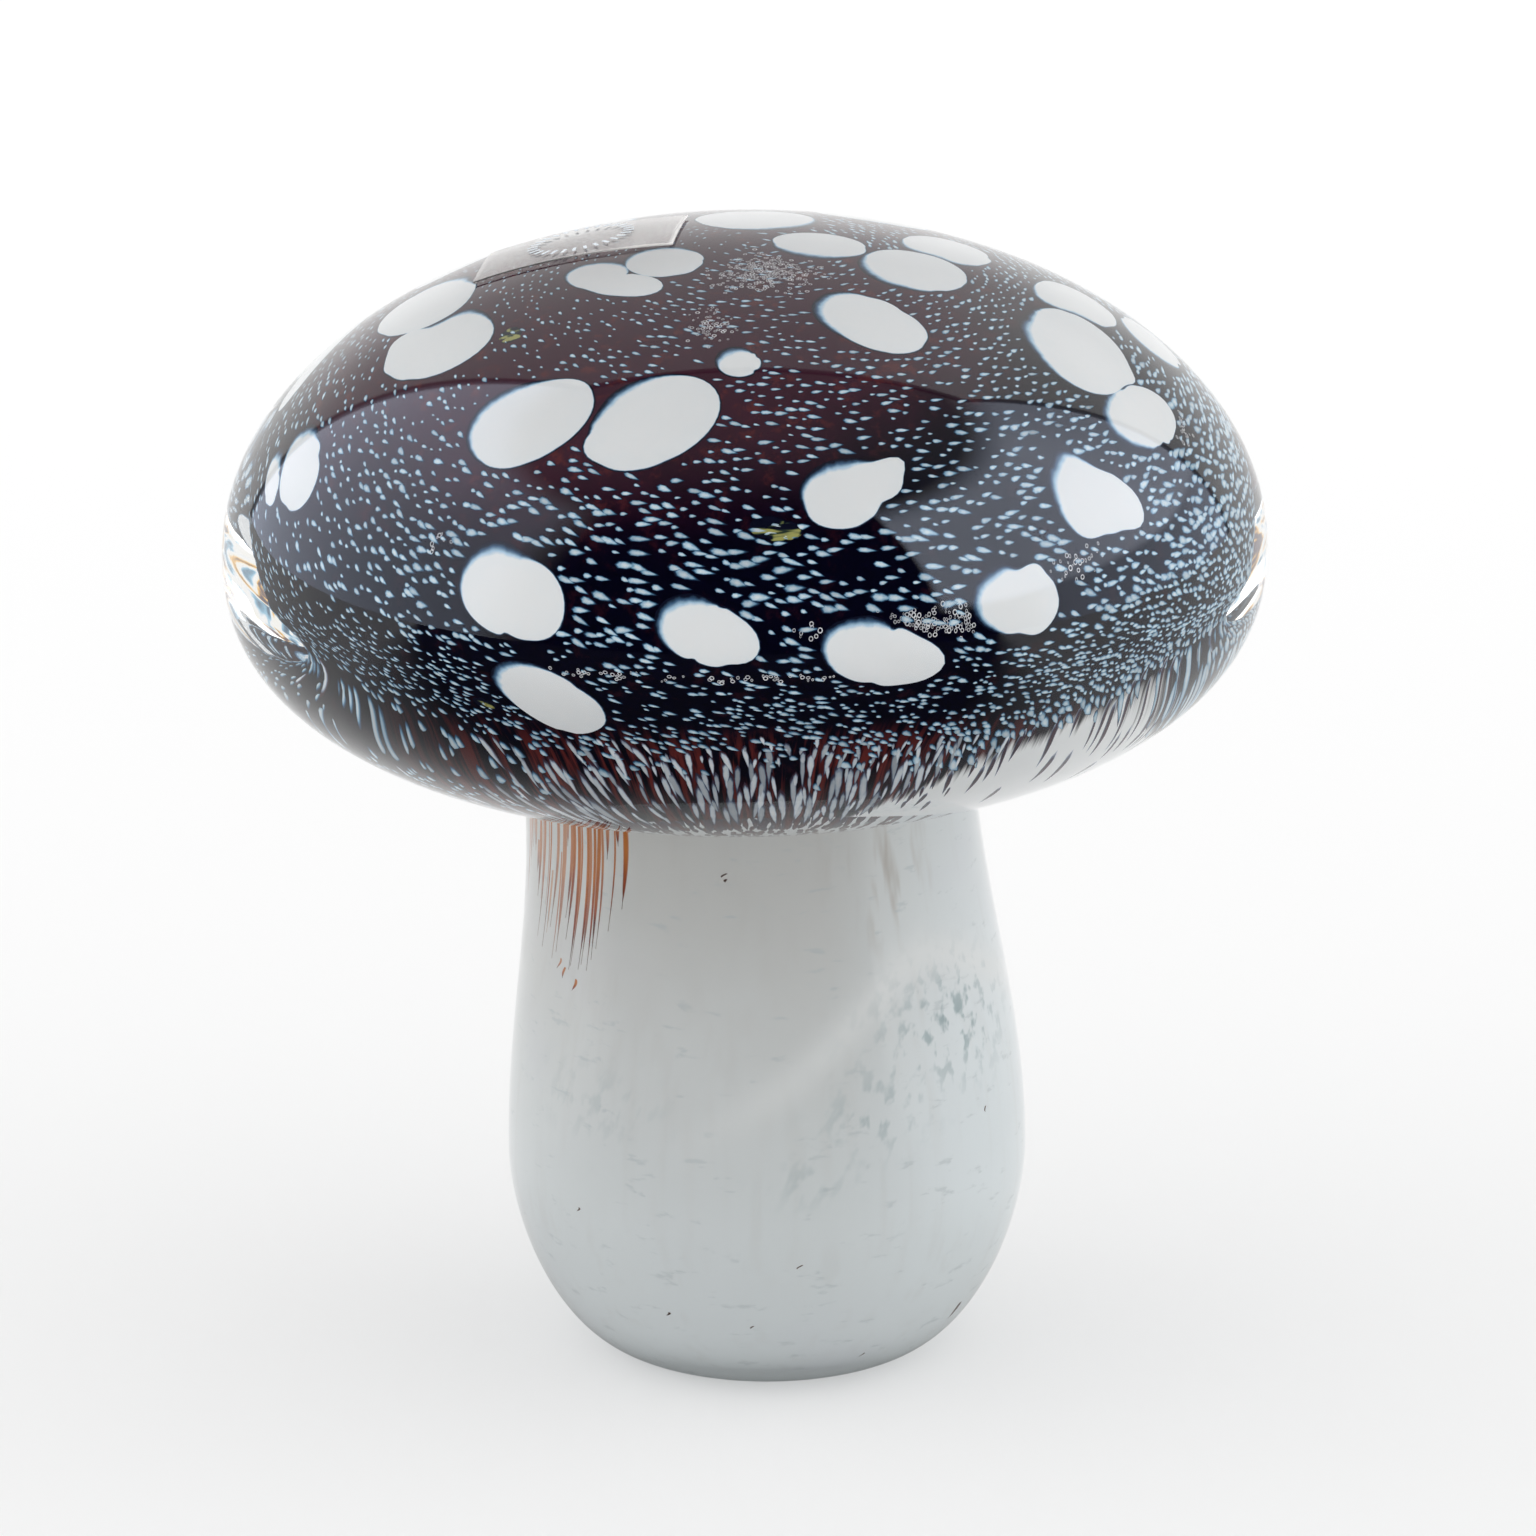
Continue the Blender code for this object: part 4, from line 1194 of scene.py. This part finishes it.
def amber_finish():
    """Amber that darkens towards the tip and pales at its sides."""
    finish, tree, shader = new_finish("amber_thread", INSIDE)
    place = in_place(tree)
    fray = noise(tree, stretched(tree, place, (1800.0, 1800.0, 260.0)), 1.0, 3.0)
    along = calc(tree, "ADD", read(tree, "down"), calc(tree, "MULTIPLY_ADD", fray, 0.8, -0.4))
    colour = ramp(tree, along, AMBER_STOPS)
    colour = blend(tree, read(tree, "tone"), colour, (0.76, 0.58, 0.48))
    sides = span(tree, calc(tree, "ADD", read(tree, "edge"), calc(tree, "MULTIPLY", fray, 0.5)), 0.75, 1.35)
    tree.links.new(blend(tree, calc(tree, "MULTIPLY", sides, 0.5), colour, (0.80, 0.72, 0.64)),
                   shader.inputs["Base Color"])
    return finish


amber = amber_finish()
threads = strands(sheaf(dice), dice)
piece("amber_threads", threads, amber, [f"neck_streak_{n}" for n in range(1, 7)])
print("amber threads:", len(threads.polygons) // (4 * (THREAD_RINGS - 1) + 2))

# %% [markdown]
# A few brown specks of stray colour lie about the stem. They are strands too, only very short.

# %% Specks in the stem
SPECKS = [(-10, 47.3, 46.9, 0.30, 0.0), (-9.6, 46.8, 46.5, 0.30, 0.0), (-28, 8.3, 7.9, 0.35, 0.0),
          (35, 4.1, 3.8, 0.3, 0.0), (70, 6.4, 5.2, 0.9, 0.4), (-4, 7.6, 7.3, 0.25, 0.4),
          (8, 13.6, 13.2, 0.25, 0.5), (63, 24, 23.5, 0.25, 0.5), (-50, 16.4, 16.0, 0.25, 0.6)]
speck_brown = chip_finish("speck_brown", [(0.0, (0.05, 0.03, 0.03)), (0.6, (0.12, 0.07, 0.06)),
                                          (1.0, (0.40, 0.34, 0.31))], 0.0)
piece("stem_specks", strands(SPECKS, dice), speck_brown)
print("specks:", len(SPECKS))

# %% [markdown]
# Tiny air bubbles were trapped in patches between the heart and the clear glass. Each shows as a
# fine bright ring of reflected light, so a small pale ring, a painted reflection, is what the
# scatter tree lays here.

# %% Bubbles
BUBBLE_SIDES = 9
BUBBLE_WALL = 0.20


def ring_shape():
    """A flat ring one unit across, of four faces a side."""
    points, faces, middle = [], [], 0.5 - BUBBLE_WALL / 2
    section = ((0.5 - BUBBLE_WALL, 0), (middle, BUBBLE_WALL), (0.5, 0), (middle, -BUBBLE_WALL))
    for turn in np.linspace(0, math.tau, BUBBLE_SIDES, endpoint=False):
        for radius, height in section:
            points.append((radius * math.cos(turn), radius * math.sin(turn), height))
    for k in range(BUBBLE_SIDES):
        here, there = 4 * k, 4 * ((k + 1) % BUBBLE_SIDES)
        faces += [(here + (j + 1) % 4, here + j, there + j, there + (j + 1) % 4) for j in range(4)]
    mesh = bpy.data.meshes.new("bubble")
    mesh.from_pydata(points, [], faces)
    keep(mesh, "edge", [0.0, 0.0, 1.0, 1.0] * BUBBLE_SIDES)
    return bpy.data.objects.new("bubble_shape", mesh)


bubble_ground = ground(outer_skin, np.clip(bubbly * 1.2 - 0.12, 0, 1), np.ones(len(slope)), 0 * slope)
# Painted reflection: each pale solid ring stands for the light that a bubble's wall reflects.
BUBBLE_GLINT_STOPS = [(0.0, (0.93, 0.93, 0.95)), (1.0, (0.74, 0.75, 0.80))]
bubble_glint = chip_finish("bubble_glint", BUBBLE_GLINT_STOPS, 0.35)
BUBBLE_SIZES = CHIP_SIZES | {"Spacing": 0.19 * MM, "Density": 6e7, "Length": 0.31 * MM, "Width": 0.31 * MM,
                             "Thickness": 0.2 * MM, "Clearance": 0.12 * MM, "Seed": 41,
                             "Finish": bubble_glint, "Chip": ring_shape()}
lay("air_bubbles", bubble_ground, BUBBLE_SIZES)

# %% [markdown]
# A clear film is stuck to the dome beside the crown. It follows the glass. Its cut edges carry a
# painted highlight, and one end a painted sheen. A shrinkwrap could press a flat sheet on the cap.
# The dome has a rule, though, so each point of the sheet is simply set over it. The film carries a
# plain ring of ticks.

# %% Clear film
FILM_LENGTH = 17.0 * MM
FILM_WIDTH = 11.0 * MM
FILM_TURN = math.radians(-6)
FILM_LIFT = 0.30 * MM
FILM_THICKNESS = 0.12 * MM
FILM_CELLS = (34, 22)
FILM_PLACE = Vector((-13.5 * MM, -0.3 * MM))


def on_dome(x, y, lift):
    """A point over the cap's dome, at a place on its plan, in the cap's coordinates."""
    z = CAP_RISE * math.sqrt(1 - (x * x + y * y) / CAP_RADIUS ** 2)
    normal = Vector((x / CAP_RADIUS ** 2, y / CAP_RADIUS ** 2, z / CAP_RISE ** 2)).normalized()
    return Vector((x, y, z)) + normal * lift


def draped(shape, lift):
    """Lay flat (x, y, z) points of a mesh, in the film's own directions, over the dome."""
    for vert in shape.verts:
        x = FILM_PLACE.x + vert.co.x * math.cos(FILM_TURN) - vert.co.y * math.sin(FILM_TURN)
        y = FILM_PLACE.y + vert.co.x * math.sin(FILM_TURN) + vert.co.y * math.cos(FILM_TURN)
        vert.co = cap_place @ on_dome(x, y, lift + vert.co.z)
    bmesh.ops.recalc_face_normals(shape, faces=shape.faces)
    return plain_mesh(shape, "draped")


def film_shape():
    """A thin sheet, cut square, with enough faces to bend."""
    along, across = FILM_CELLS
    shape = bmesh.new()
    for height in (0.0, -FILM_THICKNESS):
        sheet = Matrix.LocRotScale((0, 0, height), None, (FILM_LENGTH, FILM_WIDTH, 1.0))
        bmesh.ops.create_grid(shape, x_segments=along, y_segments=across, size=0.5, matrix=sheet)
    bmesh.ops.bridge_loops(shape, edges=[edge for edge in shape.edges if edge.is_boundary])
    flat = np.array([vert.co[:2] for vert in shape.verts]) / (FILM_LENGTH, FILM_WIDTH)
    mesh = draped(shape, FILM_LIFT)
    keep(mesh, "edge", (np.abs(flat).max(axis=1) > 0.49).astype(float))
    keep(mesh, "sheen", np.clip(flat[:, 0] * 1.6 - flat[:, 1] * 0.3, 0, 1))
    return mesh


def film_finish():
    """Clear, with a painted highlight on its cut edges and a painted sheen, milky, at one end."""
    clear = {"IOR": 1.3, "Base Color": (0.95, 0.93, 0.92, 1.0)}
    finish, tree, shader = new_finish("clear_film", clear)
    haze = noise(tree, in_place(tree), 420.0, 3.0)
    # Painted sheen: the film turns milky towards one end. Its cut edges turn pale as a painted highlight,
    # most at that end.
    milky = calc(tree, "MULTIPLY", calc(tree, "MULTIPLY", read(tree, "sheen"), haze), 0.45)
    shown = calc(tree, "MULTIPLY_ADD", read(tree, "sheen"), 0.5, 0.08)
    rim = calc(tree, "MULTIPLY", read(tree, "edge"), shown)
    painted_edge_and_sheen = calc(tree, "ADD", rim, milky)
    tree.links.new(calc(tree, "SUBTRACT", 1.0, painted_edge_and_sheen), shader.inputs["Transmission Weight"])
    tree.links.new(calc(tree, "MULTIPLY_ADD", haze, 0.12, 0.02), shader.inputs["Roughness"])
    return finish


film = piece("clear_film", film_shape(), film_finish(), ["label"])
print("film:", len(film.data.polygons), "faces")

# %% Plain ticks on the film
TICKS = 28
TICK_RING = 4.1 * MM
TICK_SIZE = (0.9 * MM, 0.28 * MM, 0.04 * MM, 1.0)
TICK_LIFT = 0.03 * MM


def ticks_shape():
    """Small flat bars in a ring, each pointing to its middle."""
    shape = bmesh.new()
    for turn in np.linspace(0, math.tau, TICKS, endpoint=False):
        turned_to = Matrix.Rotation(turn, 4, "Z") @ Matrix.Translation((TICK_RING, 0, 0))
        bmesh.ops.create_cube(shape, size=1.0, matrix=turned_to @ Matrix.Diagonal(TICK_SIZE))
    return draped(shape, FILM_LIFT + FILM_THICKNESS + TICK_LIFT)


def print_finish():
    """Worn pale print."""
    finish, tree, shader = new_finish("pale_print", {"Roughness": 0.4})
    worn = noise(tree, in_place(tree), 900.0, 3.0)
    tree.links.new(blend(tree, worn, (0.62, 0.70, 0.78), (0.84, 0.87, 0.90)), shader.inputs["Base Color"])
    return finish


piece("film_ticks", ticks_shape(), print_finish())
print("ticks:", TICKS)

# %% [markdown]
# The set is a plain white floor under a soft white sky, which makes the clear rim glow and fade into
# the background. Black glass is a mirror for what stands in front of it, so rays that the glass
# mirrors see a studio there: a pale backdrop with a dark seam round it, and a tall soft light at
# each side. Light path nodes keep that studio out of the light that falls on the object.

# %% Floor


def mirrored_ray(tree, path):
    """1 for a ray that a polished skin mirrored, 0 for one that has come through the glass."""
    return calc(tree, "MULTIPLY", path["Is Glossy Ray"],
                calc(tree, "SUBTRACT", 1.0, path["Is Transmission Ray"]))


def floor_finish():
    """White paper, lifted where it is seen, painted a little brighter far off, and dim where only the cap's
    skin mirrors its front.
    """
    finish, tree, shader = new_finish("floor", {"Roughness": 0.9, "Specular IOR Level": 0.0})
    where = node(tree, "ShaderNodeSeparateXYZ", {0: in_place(tree)}).outputs
    across, depth = where["X"], where["Y"]
    # Painted light: the paper and its lift grow a little brighter away from the camera.
    far = span(tree, depth, -0.25, 0.9)
    path = node(tree, "ShaderNodeLightPath").outputs
    aside = calc(tree, "MAXIMUM", calc(tree, "MULTIPLY", across, 0.7), calc(tree, "MULTIPLY", across, -0.3))
    near = span(tree, calc(tree, "ADD", aside, depth), 0.06, -0.04)
    front = calc(tree, "MULTIPLY", mirrored_ray(tree, path), near)
    paper = blend(tree, far, (0.60, 0.60, 0.60), (0.64, 0.64, 0.64))
    tree.links.new(blend(tree, front, paper, (0.04, 0.04, 0.04)), shader.inputs["Base Color"])
    shown = calc(tree, "SUBTRACT", 1.0, calc(tree, "MAXIMUM", front, path["Is Diffuse Ray"]))
    lift = calc(tree, "MULTIPLY_ADD", far, 0.02, 0.275)
    tree.links.new(calc(tree, "MULTIPLY", shown, lift), shader.inputs["Emission Strength"])
    shader.inputs["Emission Color"].default_value = (1.0, 1.0, 1.0, 1.0)
    return finish


FLOOR_SIZE = 6.0
FLOOR_DROP = 0.05 * MM
floor_data = bmesh.new()
bmesh.ops.create_grid(floor_data, x_segments=1, y_segments=1, size=FLOOR_SIZE / 2)
floor_mesh = plain_mesh(floor_data, "floor")
floor_mesh.transform(Matrix.Translation((0, 0, -FLOOR_DROP)))
floor_mesh.materials.append(floor_finish())
floor = bpy.data.objects.new("floor", floor_mesh)
bpy.context.scene.collection.objects.link(floor)
print("floor:", FLOOR_SIZE, "m square")

# %% What the studio looks like in a mirror
WHITE = (1.0, 1.0, 1.0)


def backdrop_border(tree, aim):
    """Below 0 on the backdrop, which stands behind the cap, and above 0 beyond its edge."""
    over = calc(tree, "DIVIDE", aim["Z"], aim["Y"])
    across = calc(tree, "ABSOLUTE", calc(tree, "SUBTRACT", calc(tree, "DIVIDE", aim["X"], aim["Y"]), 0.155))
    border = calc(tree, "MAXIMUM", calc(tree, "SUBTRACT", across, 0.965),
                  calc(tree, "MULTIPLY", calc(tree, "SUBTRACT", over, 2.3), 0.4))
    in_front = calc(tree, "LESS_THAN", aim["Y"], 0.0)
    return calc(tree, "MAXIMUM", border, calc(tree, "MULTIPLY_ADD", in_front, 20.0, -10.0))


def backdrop_light(tree, aim):
    """Dimmer higher up, and lifted again at the upper right."""
    level = calc(tree, "MULTIPLY_ADD", span(tree, aim["Z"], 0.1, 0.45), -0.35, 1.05)
    rightward = calc(tree, "MULTIPLY", span(tree, aim["X"], 0.1, 0.4), span(tree, aim["Z"], 0.3, 0.5))
    return calc(tree, "MULTIPLY_ADD", rightward, 0.35, level)


def soft_boxes(tree, aim):
    """A tall soft light at each side, and a low one that carries the right-hand one on behind."""
    around = calc(tree, "ARCTAN2", aim["X"], calc(tree, "MULTIPLY", aim["Y"], -1.0))
    under_top = span(tree, aim["Z"], 0.89, 0.78)
    left_box = calc(tree, "MULTIPLY", span(tree, around, -0.77, -1.12), under_top)
    left_light = calc(tree, "MULTIPLY_ADD", span(tree, around, -1.15, -2.0), 0.55, 1.2)
    right_box = calc(tree, "MULTIPLY", span(tree, around, 0.73, 0.78), span(tree, aim["Z"], 0.19, 0.29))
    right_light = calc(tree, "MULTIPLY_ADD", span(tree, around, 1.85, 2.3), -1.0, 2.6)
    low_light = calc(tree, "MULTIPLY", span(tree, around, 1.0, 1.3), 1.25)
    right_lit = calc(tree, "MAXIMUM", calc(tree, "MULTIPLY", right_box, right_light), low_light)
    right_lit = calc(tree, "MULTIPLY", right_lit, under_top)
    return calc(tree, "MAXIMUM", calc(tree, "MULTIPLY", left_box, left_light), right_lit)


# %% Sky


def sky():
    """Plain soft white for the light, and the studio for what a polished skin mirrors."""
    world = bpy.data.worlds.new("studio")
    world.use_nodes = True
    tree = world.node_tree
    direction = node(tree, "ShaderNodeTexCoord").outputs["Generated"]
    aim = node(tree, "ShaderNodeSeparateXYZ", {0: direction}).outputs
    sides = span(tree, calc(tree, "ABSOLUTE", aim["X"]), 0.45, 0.95)
    plain = calc(tree, "MULTIPLY_ADD", sides, 1.1, 0.94)
    border = backdrop_border(tree, aim)
    boxes = soft_boxes(tree, aim)
    roof = calc(tree, "MULTIPLY", span(tree, aim["Y"], -0.5, 0.1), 0.27)
    beyond = span(tree, border, -0.015, 0.015)
    views = {"Factor": beyond, "A": backdrop_light(tree, aim), "B": calc(tree, "MAXIMUM", boxes, roof)}
    seam = span(tree, calc(tree, "ABSOLUTE", border), 0.015, 0.05)
    lit = calc(tree, "MULTIPLY", node(tree, "ShaderNodeMix", views).outputs[0],
               calc(tree, "MULTIPLY_ADD", seam, 0.75, 0.25))
    mirrored = mirrored_ray(tree, node(tree, "ShaderNodeLightPath").outputs)
    levels = {"Factor": mirrored, "A": plain, "B": calc(tree, "MAXIMUM", lit, 0.01)}
    background = tree.nodes["Background"]
    tree.links.new(node(tree, "ShaderNodeMix", levels).outputs[0], background.inputs["Strength"])
    cool = calc(tree, "MULTIPLY", calc(tree, "MULTIPLY", mirrored, beyond), span(tree, boxes, 0.3, 1.2))
    tree.links.new(blend(tree, cool, WHITE, (0.90, 0.97, 1.15)), background.inputs["Color"])
    bpy.context.scene.world = world
    print("the sky has", len(tree.nodes), "nodes")


sky()

# %% [markdown]
# The camera looks down a little from the front, far enough off to keep the perspective gentle.

# %% Camera
TARGET = Vector((0.1 * MM, 0.0, 51.9 * MM))
ELEVATION = math.radians(16)
DISTANCE = 0.55
FRAME_WIDTH = 133.9 * MM
SENSOR = 36.0
camera_data = bpy.data.cameras.new("camera")
camera_data.sensor_width = SENSOR
camera_data.lens = SENSOR * DISTANCE / FRAME_WIDTH
camera_data.clip_start = 0.01
camera = bpy.data.objects.new("camera", camera_data)
bpy.context.scene.collection.objects.link(camera)
camera.location = TARGET + DISTANCE * Vector((0, -math.cos(ELEVATION), math.sin(ELEVATION)))
camera.rotation_euler = (math.pi / 2 - ELEVATION, 0, 0)
bpy.context.scene.camera = camera
bpy.context.scene.view_settings.view_transform = "Standard"
print(f"lens {camera_data.lens:.1f} mm")
